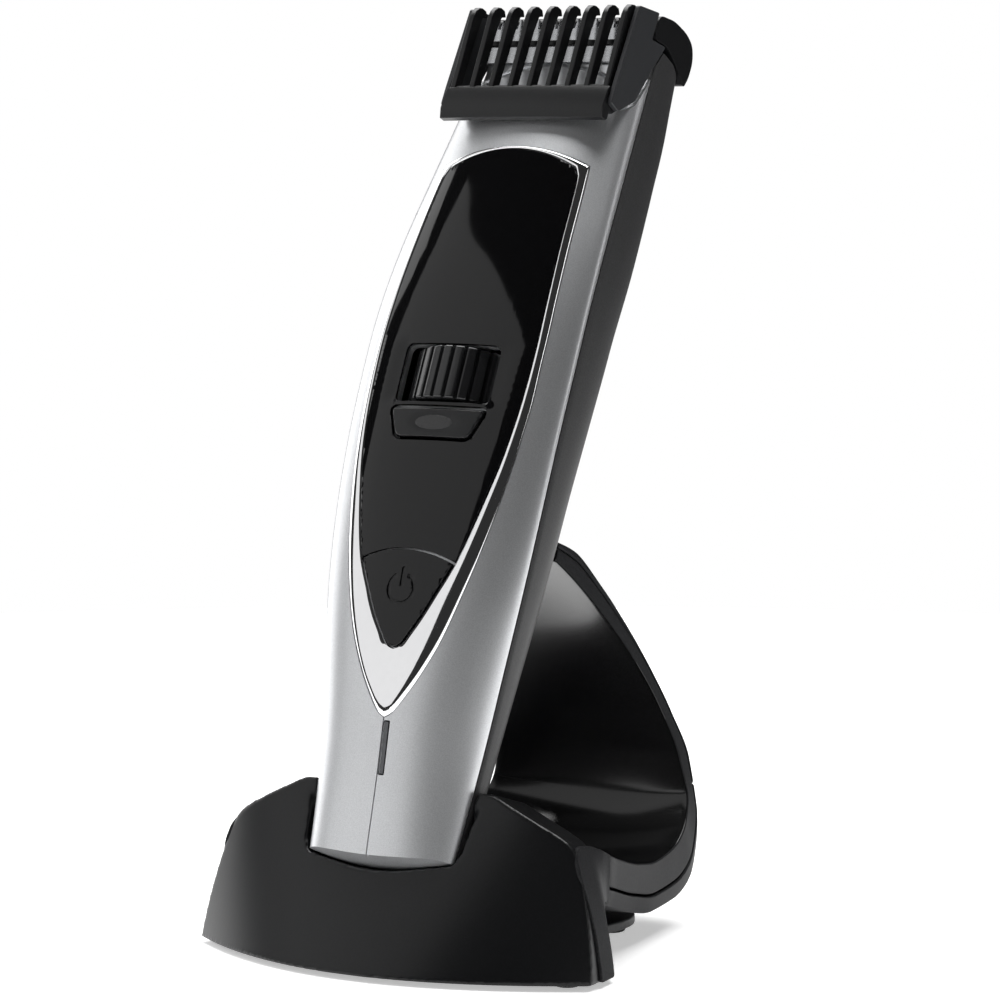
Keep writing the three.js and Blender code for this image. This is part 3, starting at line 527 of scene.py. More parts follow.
def grown(P, g):
    """The closed outline P moved outward by g."""
    P = np.asarray(P, float)
    d = np.roll(P, -1, 0) - P
    d /= np.linalg.norm(d, axis=1)[:, None] + 1e-12
    n = np.stack([d[:, 1], -d[:, 0]], 1)
    m = n + np.roll(n, 1, 0)
    m /= np.maximum((m * m).sum(1)[:, None] / 2, 0.5)
    area = (P[:, 0] * np.roll(P[:, 1], -1) - P[:, 1] * np.roll(P[:, 0], -1)).sum()
    return P + m * g * (1 if area > 0 else -1)


def rounded(pts, r, n=6):
    """Outline with its corners turned to arcs of about r."""
    P = np.asarray(pts, float)
    out = []
    for i in range(len(P)):
        a, b, c = P[i - 1], P[i], P[(i + 1) % len(P)]
        u, w = a - b, c - b
        lu, lw = np.linalg.norm(u), np.linalg.norm(w)
        q = min(r, 0.45 * lu, 0.45 * lw)
        s, e = b + u / lu * q, b + w / lw * q
        for k in range(n + 1):
            t = k / n
            out.append((1 - t) ** 2 * s + 2 * t * (1 - t) * b + t * t * e)
    return np.array(out)


def skin_w(x, v, off):
    """Height w of the handle's front skin, grown by off, at x and v."""
    a, p = soft(HALF, v) + off, soft(PART, v)
    u = np.clip(np.abs(x) / a, 0, 0.995)
    return p + (soft(FRONT, v) + off - p) * (1 - u ** FRONT_POWER) ** (1 / FRONT_POWER)


def flat_space(p):
    return np.asarray(p, float) * MM


def slab(name, outline, d0, d1, edge=0.2, seg=3, holes=(), pockets=(), dx=1.2, dv=1.8, extra_x=(), extra_v=(),
         press=None):
    """A plate drawn flat (x, v, depth), with rounded edges, then laid on the front skin of the handle."""
    ob = prism(name, outline, d0, d1, flat_space, "pqd")
    for h in holes:
        cut(ob, prism("t", h, d0 - 1, d1 + 1, flat_space, "pqd"))
    for h, depth in pockets:
        cut(ob, prism("t", h, depth, d1 + 1, flat_space, "pqd"))
    if edge:
        bevel(ob, edge, seg, 30)
    bm = bmesh.new()
    bm.from_mesh(ob.data)
    O = np.asarray(outline, float)
    for axis, step, extra in ((0, dx, extra_x), (1, dv, extra_v)):
        lo, hi = O[:, axis].min(), O[:, axis].max()
        no = [0, 0, 0]
        no[axis] = 1
        cuts = list(np.arange(math.ceil(lo / step) * step, hi, step)) + list(extra)
        for c in cuts:
            co = [0, 0, 0]
            co[axis] = (c + 0.0137) * MM
            bmesh.ops.bisect_plane(bm, geom=bm.verts[:] + bm.edges[:] + bm.faces[:], dist=1e-8, plane_co=co,
                                   plane_no=no)
    P = np.array([v.co[:] for v in bm.verts]) / MM
    d = P[:, 2]
    if press is not None:
        d = d + press(P[:, 0], P[:, 1]) * np.clip((d - d0) / (d1 - d0), 0, 1)
    Q = world(np.stack([P[:, 0], P[:, 1], skin_w(P[:, 0], P[:, 1], d)], 1))
    for v, q in zip(bm.verts, Q):
        v.co = q
    bmesh.ops.recalc_face_normals(bm, faces=bm.faces)
    bm.to_mesh(ob.data)
    bm.free()
    return even(ob, 40)


def even(ob, degrees=32):
    """Smooth shading that follows the large faces, sharp at real edges."""
    sharpen(ob, degrees)
    m = ob.modifiers.new("n", "WEIGHTED_NORMAL")
    m.keep_sharp, m.weight = True, 50
    bpy.context.view_layer.update()
    return bake(ob)


def ramp_step(t):
    """Smooth step from 0 to 1."""
    t = np.clip(t, 0, 1)
    return t * t * (3 - 2 * t)


HOOD_ROOM = [(40, 163), (6.6, 163), (5.2, 170.1), (2.4, 170.15), (-1.2, 169.65), (-4.7, 167.95), (-6.7, 166.6),
             (-14, 166.4), (-14, 180), (40, 180)]
CHEEK_ROOM = [(40, 150.6), (13.9, 151.6), (9.1, 156.2), (6.9, 161.4), (5.9, 164.3), (4.9, 166.4), (2.8, 171),
              (2.8, 180), (40, 180)]
PANEL_LINE = smooth_outline(PANEL, PANEL_TOP)
RING_LINE = smooth_outline(RING, RING_TOP)
DIAL_HOLE = rounded([(-10.9, 88.3), (10.9, 88.3), (10.9, 100.3), (-10.9, 100.3)], 1.6)
LOCK_LINE = rounded(LOCK, 1.1)


def end_tool(fall):
    """Everything below the trimmer's rounded lower end."""
    X = np.linspace(-24, 24, 49)
    rings = []
    for w in (-20, 0, 6.4, 7.5, 9, 12, 30):
        up = 0.3 + max(0, w - 6.4) * 0.31 + 2.3 * (X / 16.5) ** 2 - fall
        top = np.stack([X, up, np.full_like(X, w)], 1)
        rings.append(np.vstack([top, [(24, -12, w), (-24, -12, w)]]))
    return loft("t", rings)


def room_cuts(ob, inner):
    """Hollows the shell and clears its end, the hood and the comb's cheeks."""
    cut(ob, inner, end_tool(0), plate_wv("t", HOOD_ROOM, -40, 40),
        plate_wv("t", CHEEK_ROOM, 17.2, 30), plate_wv("t", CHEEK_ROOM, -30, -17.2))
    return ob


shell = half_body("handle_front", True, FRONT_TOP, 150, 120)
hole = cut(plate_xv("t", grown(RING_LINE, 0.15), 5, 40), handle("t", -1.05, 18, 152, 60, 80))
room_cuts(shell, handle("t", -FRONT_WALL, 2.7, 172, 60, 70))
cut(shell, hole, box_t(-17.6, 17.6, 157.2, 170, 3, 30),
    plate_xv("t", circle(6.2, 48, 0, 157.4), 9, 30), plate_xv("t", DIAL_HOLE, 0, 40),
    plate_xv("t", grown(LOCK_LINE, 0.6), 5, 40))
cut(shell, plate_xv("t", rounded([(0.05, 16.4), (1.45, 16.4), (1.45, 26.6), (0.05, 26.6)], 0.3), 0, 30),
    cut(box_t(-0.22, 0.05, -1, 27.4, 0, 30), handle("t", -0.5, -2, 40, 20, 60)))
even(shell, 28)
done(shell, "trimmer", "handle_front_shell", mat=SILVER, slot=SLOT["handle_front_shell"])

grip = half_body("handle_rear", False, REAR_TOP, 130, 110)
room_cuts(grip, handle("t", -REAR_WALL, 2.7, 173, 60, 70))
cut(grip, box_t(-17.6, 17.6, 158.2, 172, 2, 30))
for s in (-1, 1):
    cut(grip, box_t(s * CONTACT_X - 1.6, s * CONTACT_X + 1.6, -2, 4, -1.2, 2.0))
for x, v in SCREWS:
    cut(grip, plate_xv("t", circle(1.55, 24, x, v), -12, 0))
even(grip, 28)
done(grip, "trimmer", "handle_rear_shell", mat=DARK, slot=SLOT["handle_rear_shell"])


def strip_ring(name, inner, outer, n=420, m=13, low=0.05, rise=0.5, root=-0.5):
    """Closed convex band between two outlines (x, v), laid on the front skin: m stations across its width."""
    A, B = resample(inner, n, True), resample(outer, n, True)
    # both outlines start at the pointed lower end, so equal shares of their length face each other
    S = []
    for j in range(m):
        u = j / (m - 1)
        e = abs(2 * u - 1)
        P = A * (1 - u) + B * u
        h = low + rise * math.sqrt(max(0.0, 1 - e ** 2.6)) if 0 < j < m - 1 else low
        S.append(np.column_stack([P, np.full(n, h)]))
    S.append(np.column_stack([B, np.full(n, root)]))
    S.append(np.column_stack([A, np.full(n, root)]))
    V = np.vstack([np.column_stack([q[:, 0], q[:, 1], skin_w(q[:, 0], q[:, 1], q[:, 2])]) for q in S])
    k, F = len(S), []
    for j in range(k):
        for i in range(n):
            F.append((j * n + i, j * n + (i + 1) % n, ((j + 1) % k) * n + (i + 1) % n, ((j + 1) % k) * n + i))
    return even(outward(mesh_object(name, world(V), F)), 60)


ring_band = strip_ring("bright_ring", grown(PANEL_LINE, 0.12), RING_LINE)
done(ring_band, "trimmer", "chrome_ring", mat=CHROME, slot=SLOT["chrome_ring"])


def power_line(g):
    """Outline of the power button: the panel's lower tip under an arch, grown by g."""
    v0 = PANEL[0][0]
    vs = v0 + (POWER_TOP - v0) * np.linspace(0, 1, 40) ** 1.6
    right = np.stack([curve(PANEL, vs), vs], 1)
    e = right[-1][0]
    a = np.linspace(1, -1, 22)[1:-1]
    top = np.stack([e * a, POWER_TOP + POWER_ARC * (1 - a * a)], 1)
    P = np.vstack([right, top, right[1:][::-1] * np.array([-1, 1])])
    return grown(P, g)


def scoop(x, v):
    """Shallow finger rest each side of the dial."""
    side = ramp_step((14.6 - np.abs(x)) / 3.8) * (np.abs(x) > 10)
    return -0.42 * side * ramp_step((v - 86.8) / 3.4) * ramp_step((102.2 - v) / 3.6)


face = slab("gloss_face", PANEL_LINE, -0.5, 0.35, edge=0.16, seg=3,
            holes=[DIAL_HOLE, grown(LOCK_LINE, 0.75), power_line(0.12)],
            extra_x=[s * q for s in (-1, 1) for q in np.arange(11.15, 15, 0.35)],
            extra_v=list(np.arange(86.5, 102.6, 0.45)), press=scoop)
done(face, "trimmer", "gloss_panel", mat=GLOSS, slot=SLOT["gloss_panel"])

arc_t = np.linspace(math.radians(62), math.radians(-242), 60)
icon_ring = np.vstack([np.stack([3.15 * np.cos(arc_t), ICON_V + 3.15 * np.sin(arc_t)], 1),
                       np.stack([2.6 * np.cos(arc_t[::-1]), ICON_V + 2.6 * np.sin(arc_t[::-1])], 1)])
icon_bar = rounded([(-0.3, ICON_V + 0.3), (0.3, ICON_V + 0.3), (0.3, ICON_V + 4.1), (-0.3, ICON_V + 4.1)], 0.2)
press_key = slab("power_key", power_line(-0.3), -0.5, 0.36, edge=0.09, seg=3,
                 pockets=[(icon_ring, 0.05), (icon_bar, 0.05)], dx=1.0, dv=1.2)
done(press_key, "power_button_body", "power_button", mat=GLOSS, slot=SLOT["power_button"])


def dish(x, v):
    """Hollow in the lock button for a finger tip."""
    q = (x / 5.6) ** 2 + ((v - LOCK_V) / 2.0) ** 2
    return -0.30 * ramp_step(1.25 - q)


lock_key = slab("lock_key", LOCK_LINE, -0.6, 0.62, edge=0.28, seg=4, dx=0.7, dv=0.5, press=dish)
done(lock_key, "lock_button_body", "lock_button", mat=SATIN, slot=SLOT["lock_button"])
patch = slab("lock_key_pad", np.array([(4.6 * math.cos(q), LOCK_V + 1.5 * math.sin(q))
                                       for q in np.linspace(0, 2 * math.pi, 48, endpoint=False)]),
             0.15, 0.40, edge=0.05, seg=2, dx=0.9, dv=0.6)
done(patch, "lock_button_body", mat=PAD, slot=SLOT["lock_button"])

# ribbed barrel of the length dial
rings, ends = [], 0.55
h = DIAL_V1 - DIAL_V0
ang = np.linspace(0, 2 * math.pi, 30 * 12, endpoint=False)
tooth = np.abs(np.mod(ang * 30 / (2 * math.pi), 1.0) - 0.5) * 2
rib = 0.85 * ramp_step((tooth - 0.62) / 0.3)
stations = [(0, -9.7), (0, -ends - 0.25), (0.08, -0.28), (ends * 0.45, -0.08), (ends, 0), (h / 2, 0.0),
            (h - ends, 0), (h - ends * 0.45, -0.08), (h - 0.08, -0.28), (h, -ends - 0.25), (h, -9.7)]
for vv, dr in stations:
    r = DIAL_R + dr - rib * (0 if dr < -5 else 1)
    rings.append(np.stack([r * np.cos(ang), np.full_like(ang, DIAL_V0 + vv), CW + r * np.sin(ang)], 1))
wheel = loft("ribbed_dial", rings + [rings[0]], cap=False)   # closed like a tyre, then welded
weld(wheel, 1e-7)
outward(wheel)
even(wheel, 38)
done(wheel, "dial", "length_dial", mat=DIALBLACK, slot=SLOT["length_dial"])

# ---------------------------------------------------------------- head
def plate(name, pts, x0, x1, edge, seg=3, bow=0.0, cuts=(), angle=30):
    """Side profile (w, v) drawn across from x0 to x1, with rounded edges; bow pushes its middle forward."""
    ob = plate_wv(name, pts, x0, x1)
    for t in cuts:
        cut(ob, t)
    bevel(ob, edge, seg, angle)
    if bow:
        bm = bmesh.new()
        bm.from_mesh(ob.data)
        for c in np.arange(-18, 18.1, 1.5):
            bmesh.ops.bisect_plane(bm, geom=bm.verts[:] + bm.edges[:] + bm.faces[:], dist=1e-8,
                                   plane_co=((c + 0.011) * MM, 0, 0), plane_no=(1, 0, 0))
        for v in bm.verts:
            q = bow * MM * (1 - min(1.0, (v.co.x / (18.7 * MM)) ** 2))
            v.co.y -= q * CS
            v.co.z += q * SN
        bm.to_mesh(ob.data)
        bm.free()
    return even(ob, 38)


BAR = [(15.9, 150.1), (16.4, 149.7), (17.9, 149.7), (18.5, 151.7), (18.0, 155.3), (17.75, 156.4), (15.7, 156.5)]
bar = plate("comb_bar", BAR, -19.0, 18.8, 0.12, 3, bow=0.35)
done(bar, "comb_attachment", mat=COMB, slot=SLOT["comb"])
RAIL = [(15.4, 154.9), (17.5, 154.9), (17.5, 156.8), (16.9, 157.2), (15.4, 157.2)]
rail = plate("comb_root", RAIL, -18, 18, 0.25, 3)
done(rail, "comb_attachment", mat=COMB, slot=SLOT["comb"])
TOOTH = [(15.6, 154.9), (17.8, 154.9), (17.2, 172.2), (16.8, 173.6), (16.0, 174.7), (14.9, 175.1), (13.5, 175.1),
         (12.6, 174.0), (13.4, 173.9), (14.0, 173.2), (14.2, 171.8), (14.6, 169.6), (14.9, 165.0), (15.4, 159.4)]
for i in range(TEETH):
    x = (i - (TEETH - 1) / 2) * TOOTH_PITCH
    t = plate("comb_tooth_%d" % (i + 1), TOOTH, x - TOOTH_HALF, x + TOOTH_HALF, 0.2, 3, angle=24)
    done(t, "comb_attachment", mat=COMB, slot=SLOT["comb"])
for s, nm in ((-1, "left"), (1, "right")):
    a, b = sorted((s * 17.5, s * 18.7))
    lug = plate("comb_lug_" + nm, [(17.3, 156.3), (17.6, 151.0), (14.4, 151.9), (10.9, 155.4), (11, 157)], a, b, 0.2)
    done(lug, "comb_attachment", mat=COMB, slot=SLOT["comb"])
    a, b = sorted((s * CHEEK_IN, s * CHEEK_OUT))
    CHK = rounded([(14.4, 152.4), (17.4, 152.9), (17.2, 156.5), (15.4, 174.7), (8, 176.6), (8.5, 170.6), (3.2, 171.4),
                   (5.3, 166.7), (6.3, 164.8), (7.3, 161.9), (9.5, 156.8)], 0.5, 4)
    ck = plate("comb_side_" + nm, CHK, a, b, 0.3, 4)
    done(ck, "comb_attachment", "comb_cheek_" + nm, mat=CHEEK, slot=SLOT["comb_cheek_" + nm])
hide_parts("comb")

HOOD = rounded([(2.6, 171.9), (7.6, 171.2), (7.5, 176.4), (1.8, 177.75), (-3.3, 177.5), (-6.4, 176.3), (-7.8, 173.4),
                (-7.6, 169.7), (-6.5, 167.0), (-4.7, 168.3), (-1.2, 170.4)], 1.6, 8)
HOOD_INNER = [(9, 169.8), (9, 175.0), (1.6, 176.3), (-0.8, 176.5), (-3.0, 176.2), (-5.0, 175.2), (-5.9, 174.2),
              (-6.1, 172), (-6.1, 166), (0, 166)]
hollow = plate_wv("t", HOOD_INNER, -17.9, 17.9)
cap = plate("back_hood", HOOD, -HOOD_HALF, HOOD_HALF, 0.7, 5, cuts=[hollow], angle=40)
done(cap, "carriage", "rear_hood", mat=SATIN, slot=SLOT["rear_hood"])

# bright head: a shallow arched step on its face
nx, nv = 61, 41
grid = np.zeros((nv, nx, 3))
for a in range(nv):
    for b in range(nx):
        x, v = HEAD_HALF * (2 * b / (nx - 1) - 1), HEAD_V0 + (HEAD_V1 - HEAD_V0) * a / (nv - 1)
        line = ARCH_V + ARCH_RISE * (1 - (x / HEAD_HALF) ** 2)
        w = 10.5 + 0.10 * (v - HEAD_V0) + 0.75 * float(ramp_step((v - line) / 0.5 + 0.5))
        w -= 1.3 * float(ramp_step((v - 165.6) / 1.6))
        grid[a, b] = (x, v, w - 0.5 * (abs(x) / HEAD_HALF) ** 6)
V = np.vstack([grid.reshape(-1, 3), grid.reshape(-1, 3) * np.array([1, 1, 0]) + np.array([0, 0, 9.7])])
F, N = [], nx * nv
for a in range(nv - 1):
    for b in range(nx - 1):
        q = a * nx + b
        F += [(q, q + 1, q + nx + 1, q + nx), (N + q, N + q + nx, N + q + nx + 1, N + q + 1)]
for a in range(nv - 1):
    for b in (0, nx - 1):
        q = a * nx + b
        F.append((q, q + nx, N + q + nx, N + q))
for b in range(nx - 1):
    for a in (0, nv - 1):
        q = a * nx + b
        F.append((q, q + 1, N + q + 1, N + q))
front_face = outward(mesh_object("head_face", world(V), F))
even(front_face, 50)
done(front_face, "trimmer", mat=PLATE, slot=SLOT["head_plate"])
core = cut(plate_wv("head_core", [(3.2, 157.7), (9.6, 157.9), (9.6, 167.1), (3.2, 167.1)], -15.1, 15.1),
           box_t(-8, 8, 150, 166, 0, 9.5), box_t(-4.2, 4.2, 150, 170, 0, 9.9))
join(core, box_t(-14.4, 14.4, 165.6, 167.1, -3.7, 3.4))
done(even(bevel(core, 0.15, 2)), "trimmer", "head_plate", mat=PLATE, slot=SLOT["head_plate"])


def blade(name, half, v0, v1, tip, count, pitch, w0, w1, wide, nib):
    """Blade with ground teeth along its upper edge, drawn as one outline (x, v)."""
    pts = [(-half, v0), (half, v0), (half, v1)]
    for i in range(count - 1, -1, -1):
        c = (i - (count - 1) / 2) * pitch
        pts += [(c + wide, v1), (c + nib, tip), (c - nib, tip), (c - wide, v1)]
    pts += [(-half, v1)]
    ob = plate_xv(name, pts, w0, w1)
    return even(bevel(ob, 0.07, 2, 30), 38)


fb = blade("front_blade", 15.9, 163.9, 171.2, 173.3, 24, 31.1 / 23, 12.25, 12.9, 0.42, 0.2)
done(fb, "trimmer", "fixed_blade", mat=STEEL, slot=SLOT["fixed_blade"])
mb = blade("cutter_blade", 13.4, 167.7, 170.7, 172.5, 18, 25.8 / 17, 11.15, 11.9, 0.45, 0.2)
cut(mb, box_t(-1.3, 1.3, 167.2, 169.8, 10, 13))
done(mb, "cutter", "moving_blade", mat=STEEL, slot=SLOT["moving_blade"])
strip = plate("blade_strip", [(12.92, 167.3), (13.4, 167.5), (13.4, 168.5), (12.92, 168.7)], -15.6, 15.6, 0.1, 2)
done(strip, "trimmer", mat=SATIN, slot=SLOT["rear_hood"])

# ---------------------------------------------------------------- stand
def side_x(z):
    """Half width of the front block at its front corners, at height z."""
    t = z / BASE_RISE
    return BASE_HALF - 3.4 * t - 6.2 * t * t


def block_ring(z, off, n=70):
    """Plan outline of the front block at height z, moved inward by off."""
    t = z / BASE_RISE
    off -= SKIN_IN
    xs = side_x(z) - off
    a = np.linspace(-1, 1, n)
    yb = -0.6 - BULGE * (1 - a * a) + off
    yt = 1.6 + off * 0.6 + 3.1 * a ** 4
    back = BLOCK_BACK - off
    P = [(xs * q, float(y), z) for q, y in zip(a, yb + (yt - yb) * t)]
    P += [(xs - 1.4, back - 4, z), (xs - 4.0, back - 1, z)]
    P += [((xs - 7.4) * q, back, z) for q in np.linspace(1, -1, 9)]
    P += [(-xs + 4.0, back - 1, z), (-xs + 1.4, back - 4, z)]
    return P


def block(off, z0, z1):
    return loft("block", [block_ring(z, off) for z in np.linspace(z0, z1, 22)], to=stand)


def deck(drop):
    """Everything above the shoulders, falling away to the back."""
    p = [(-60, 70), (-60, 24.2), (-39.3, 24.2), (-38.7, 25.6), (-37.3, 27), (-35, 28.3), (-31, 30.1), (-24, 33.3),
         (-21.5, 34.5)]
    p = [(x, z - drop) for x, z in p]
    p += [(-x, z) for x, z in reversed(p)]
    V, n = [], len(p)
    for y in (-40, 40):
        V += [(x, y, z - DECK_FALL * y + 0.5) for x, z in p]
    F = [tuple(range(n)), tuple(range(n, 2 * n))[::-1]] + [(i, (i + 1) % n, n + (i + 1) % n, n + i) for i in range(n)]
    return outward(mesh_object("t", stand(V), F))


def notch():
    """Room cut away at the front of the stand, where the trimmer's end shows."""
    p = [(-23, 40), (-22.3, 34.3), (-20.6, 33.2), (-19.3, 31.2), (-18.3, 28.2), (-17.7, 23)]
    left = list(p)
    p += [(17.7 * q, 23 - 3.7 * (1 - q * q)) for q in np.linspace(-1, 1, 25)[1:-1]]
    p += [(-x, z) for x, z in reversed(left)]
    return prism("t", p, -19, 1, stand, "pdq")


def socket(off):
    """Room the trimmer's lower end drops into, open upward."""
    R = []
    for v in (0.2, 4, 10, 18, 30, 46, 64, 90):
        vv = min(v, 46)
        R.append(full_ring(vv, off + (max(v - 46, 0)) * 0.1, 60, at=v - 0.6 - (off if v < 1 else 0)))
    return cut(loft("t", R), end_tool(0.45 + max(0, off - 0.5)))


def box_s(x0, x1, y0, y1, z0, z1):
    return prism("t", [(x0, y0), (x1, y0), (x1, y1), (x0, y1)], z0, z1, stand, "pqd")


body = cut(block(0, BLOCK_Z0, BLOCK_Z1), deck(0))
room = cut(block(BLOCK_WALL, -3, BLOCK_Z1), deck(BLOCK_WALL))
collar = common(socket(2.4), cut(block(0, BLOCK_Z0, BLOCK_Z1), deck(0)))
cut(body, room)
join(body, collar)
cut(body, socket(0.5), notch())
for s in (-1, 1):
    cut(body, box_t(s * CONTACT_X - 1.5, s * CONTACT_X + 1.5, -8, 2, -1.1, 1.8))
cut(body, box_s(-25.4, 25.4, 10, 20, -5, 5.6), box_s(-4.4, 4.4, 10, 20, 6.9, 12.1))
SPLIT = [(8.0, -5), (8.0, 14.4), (8.4, 15.6), (9.4, 16.4), (30, 16.6), (30, -5)]
rear_part = body.copy()
rear_part.data = body.data.copy()
bpy.context.scene.collection.objects.link(rear_part)
rear_part.name = "stand_rear_panel"
body.name = "stand_front_body"
front_cut, rear_cut = ([(y - g, z + (g if z > 10 else 0)) for y, z in SPLIT] for g in (SEAM, -SEAM))
cut(body, prism("t", front_cut, -60, 60, stand, "dpq"))
common(rear_part, prism("t", rear_cut, -60, 60, stand, "dpq"))
soften(body, 0.42, 7)
soften(rear_part, 0.42, 4)
done(body, "stand", "stand_front", mat=STAND, slot=SLOT["stand_front"])
done(rear_part, "stand", mat=STAND, slot=SLOT["stand_front"])

def side_wing(name, s):
    """Leg of the cradle's rim that runs down the side of the block: drawn flat (y, z), then laid on its side face."""
    line = [(4.2, 25.3), (2.7, 23.6), (2.2, 20.4), (2.6, 17.6), (3.0, 12.0), (3.2, 6.0), (3.2, 1.0), (9.9, 1.0),
            (9.9, 5.0), (9.7, 9.7), (9.6, 12.6), (10.4, 14.1), (12.4, 14.6), (17.0, 12.9), (18.0, 22.2), (13.9, 23.9),
            (10.6, 25.0), (6.0, 25.5)]
    ob = prism(name, rounded(line, 1.0, 5), 0, 1.2, flat_space, "pqd")
    bevel(ob, 0.3, 3, 40)
    bm = bmesh.new()
    bm.from_mesh(ob.data)
    for axis, lo, hi in ((0, 1, 18), (1, 1, 27)):
        no = [0, 0, 0]
        no[axis] = 1
        for c in np.arange(lo, hi, 0.9):
            co = [0, 0, 0]
            co[axis] = (c + 0.013) * MM
            bmesh.ops.bisect_plane(bm, geom=bm.verts[:] + bm.edges[:] + bm.faces[:], dist=1e-8, plane_co=co,
                                   plane_no=no)
    P = np.array([v.co[:] for v in bm.verts]) / MM
    y, z, d = P[:, 0], P[:, 1], P[:, 2]
    near = side_x(z) - 1.4 * np.clip((y - 1.6) / 7.9, 0, 1.4)
    rim = 38.1 - 0.08 * (y - 10.6)
    k = ramp_step((y - 9.0) / 8.0)
    X = near + (rim - near) * k - 0.75 + d
    for v, q in zip(bm.verts, stand(np.stack([s * X, y, z], 1))):
        v.co = q
    bmesh.ops.recalc_face_normals(bm, faces=bm.faces)
    bm.to_mesh(ob.data)
    bm.free()
    return even(ob, 40)


for s, nm in ((-1, "left"), (1, "right")):
    done(side_wing("rim_leg_" + nm, s), "stand", mat=RIM, slot=SLOT["stand_front"])

# rows round the C: y, z of the bowl; y, z of the cover; half width; dish
CRADLE = [
    (10.6, 25.0, 9.8, 15.6, 37.7, 0.5), (13.9, 23.8, 13.9, 14.0, 37.8, 1.2),
    (18, 22.3, 17, 12.7, 37.5, 1.4), (24.3, 20.4, 23, 11.2, 35.8, 1.8),
    (37.2, 17.3, 34.5, 8.2, 32.6, 2.6), (48.3, 16.0, 48, 5.9, 29.8, 3.2),
    (59.4, 16.9, 61.0, 6.3, 27.2, 3.6), (68.0, 20.8, 71.7, 9.9, 24.9, 3.8),
    (71.2, 26.6, 76.6, 21.3, 23.2, 3.8), (70.2, 33.8, 75.8, 32.2, 21.8, 3.6),
    (65.0, 44.0, 70.8, 42.4, 20.4, 3.2), (55.2, 56.2, 60.6, 56.4, 19.0, 2.6),
    (44.6, 66.2, 48.9, 69.0, 17.8, 1.9), (36.9, 72.4, 39.9, 76.8, 17.0, 1.2),
    (32.2, 75.7, 33.4, 79.4, 16.5, 0.8),
]


def shell_loft(name, s0, s1, fa, fb, edge_b=0.0, r=0.5, rows=150, n=26):
    """C-shaped shell between depths fa and fb of the cradle, its long edges and ends rounded to about r."""
    tab = [[(i, c[k]) for i, c in enumerate(CRADLE)] for k in range(6)]
    S = np.concatenate([[s0, s0 + 0.004, s0 + 0.015], np.linspace(s0 + 0.04, s1 - 0.06, rows),
                        [s1 - 0.03, s1 - 0.01, s1]])
    shrink = np.concatenate([[0.45, 0.22, 0.07], np.zeros(rows), [0.07, 0.22, 0.45]])
    R = []
    for s, k in zip(S, shrink):
        c = [float(curve(t, s)) for t in tab]
        dy, dz = c[2] - c[0], c[3] - c[1]
        L = math.hypot(dy, dz)
        ny, nz = dy / L, dz / L

        def line(f, e):
            y, z = c[0] + dy * f, c[1] + dz * f
            u = np.linspace(-1, 1, n)
            d = c[5] * (1 - u * u) * (1 - f * 0.8)
            return np.stack([(c[4] - e - k) * u, y + ny * d, z + nz * d], 1)

        q = r / L
        lo, hi = fa + k / L, fb - k / L
        steps = [(0.0, 1.0), (0.12, 0.5), (0.5, 0.12), (1.0, 0.0)]
        top = line(lo, r)
        right = [line(lo + q * a, r * b)[-1] for a, b in steps[1:]]
        side_b = [line(hi - q * a, edge_b + r * b)[-1] for a, b in reversed(steps[1:])]
        bot = line(hi, edge_b + r)[::-1]
        left = [line(hi - q * a, edge_b + r * b)[0] for a, b in steps[1:]]
        side_l = [line(lo + q * a, r * b)[0] for a, b in reversed(steps[1:])]
        R.append(np.vstack([top, right, side_b, bot, left, side_l]))
    return even(loft(name, R, to=stand), 50)


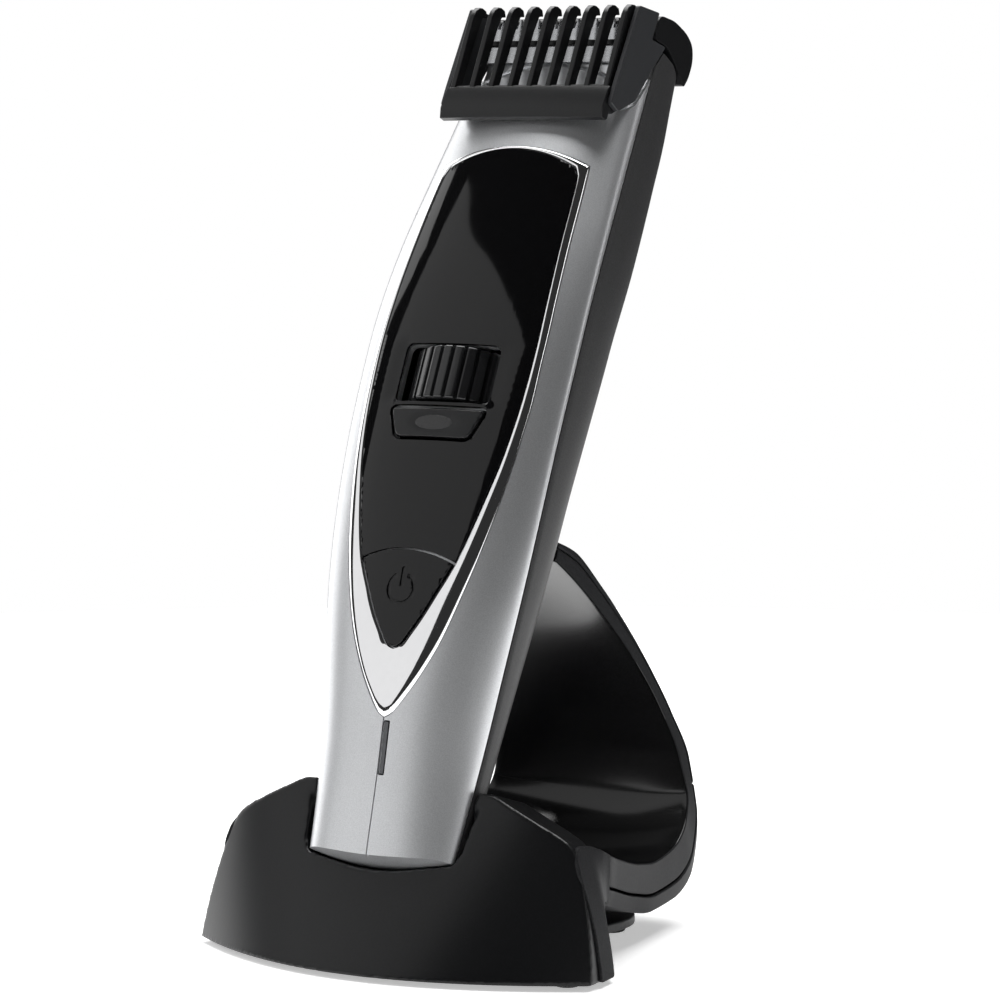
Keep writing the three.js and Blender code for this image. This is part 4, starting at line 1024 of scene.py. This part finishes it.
inner = shell_loft("cradle_bowl", 0, 14, 0.0, BOWL_DEPTH, r=0.42, n=40)
done(inner, "stand", "cradle_inner", mat=BOWL, slot=SLOT["cradle_inner"])
inner.data.materials.append(RIM)
for f in inner.data.polygons:
    if abs(f.normal.x) > 0.6:
        f.material_index = 1
low = shell_loft("cradle_lower_cover", 0.55, NOTCH_ROW - 0.02, COVER_DEPTH, 1.0, edge_b=0.7, r=0.45)
done(low, "stand", "cradle_cover_lower", mat=RIM, slot=SLOT["cradle_cover_lower"])
high = shell_loft("cradle_upper_cover", NOTCH_ROW + 0.02, 14, COVER_DEPTH, 1.0, edge_b=0.7, r=0.45)
done(high, "stand", "cradle_cover_upper", mat=RIM, slot=SLOT["cradle_cover_upper"])

tongue = [(41 * q, 2.9 - 14.6 * (1 - q * q)) for q in np.linspace(-1, 1, 31)]
tongue += [(38.4, 8.4), (34, 10.6), (24.8, 10.6), (23.6, 30), (24.2, 44)]
tongue += [(24 * math.cos(q), 46 + 17.5 * math.sin(q)) for q in np.linspace(0, math.pi, 40)[1:-1]]
tongue += [(-24.2, 44), (-23.6, 30), (-24.8, 10.6), (-34, 10.6), (-38.4, 8.4)]
foot_plate = even(bevel(prism("weight_tongue", tongue, 2.2, 4.2, stand, "pqd"), 0.5, 4, 50), 40)
done(foot_plate, "stand", "base_plate", mat=WEIGHT, slot=SLOT["base_plate"])

for nm, x, y, r in (("front_left", -38.0, 2.2, 2.7), ("front_right", 38.0, 2.2, 2.7), ("rear_left", -16, 53, 3.4),
                    ("rear_right", 16, 53, 3.4)):
    prof = [(0.0, r - 0.55), (0.12, r - 0.3), (0.45, r - 0.1), (1.2, r), (1.8, r), (2.1, r - 0.4)]
    pad = loft("pad_" + nm, [[(x + a, y + b, z) for a, b in circle(q, 40)] for z, q in prof], to=stand)
    done(even(pad, 50), "stand", "foot_" + nm, mat=RUBBER, slot=SLOT["foot_" + nm])

port = prism("inlet_shell", rounded([(-4.1, 7.2), (4.1, 7.2), (4.1, 11.8), (-4.1, 11.8)], 0.9), 3, 13.2, stand, "pdq")
bore = loft("t", [[(a, y, INLET_Z + b) for a, b in circle(1.75, 40)] for y in (6.6, 14)], to=stand)
done(even(bevel(cut(port, bore), 0.18, 3, 40), 40), "stand", "charge_socket", mat=SATIN, slot=SLOT["charge_socket"])
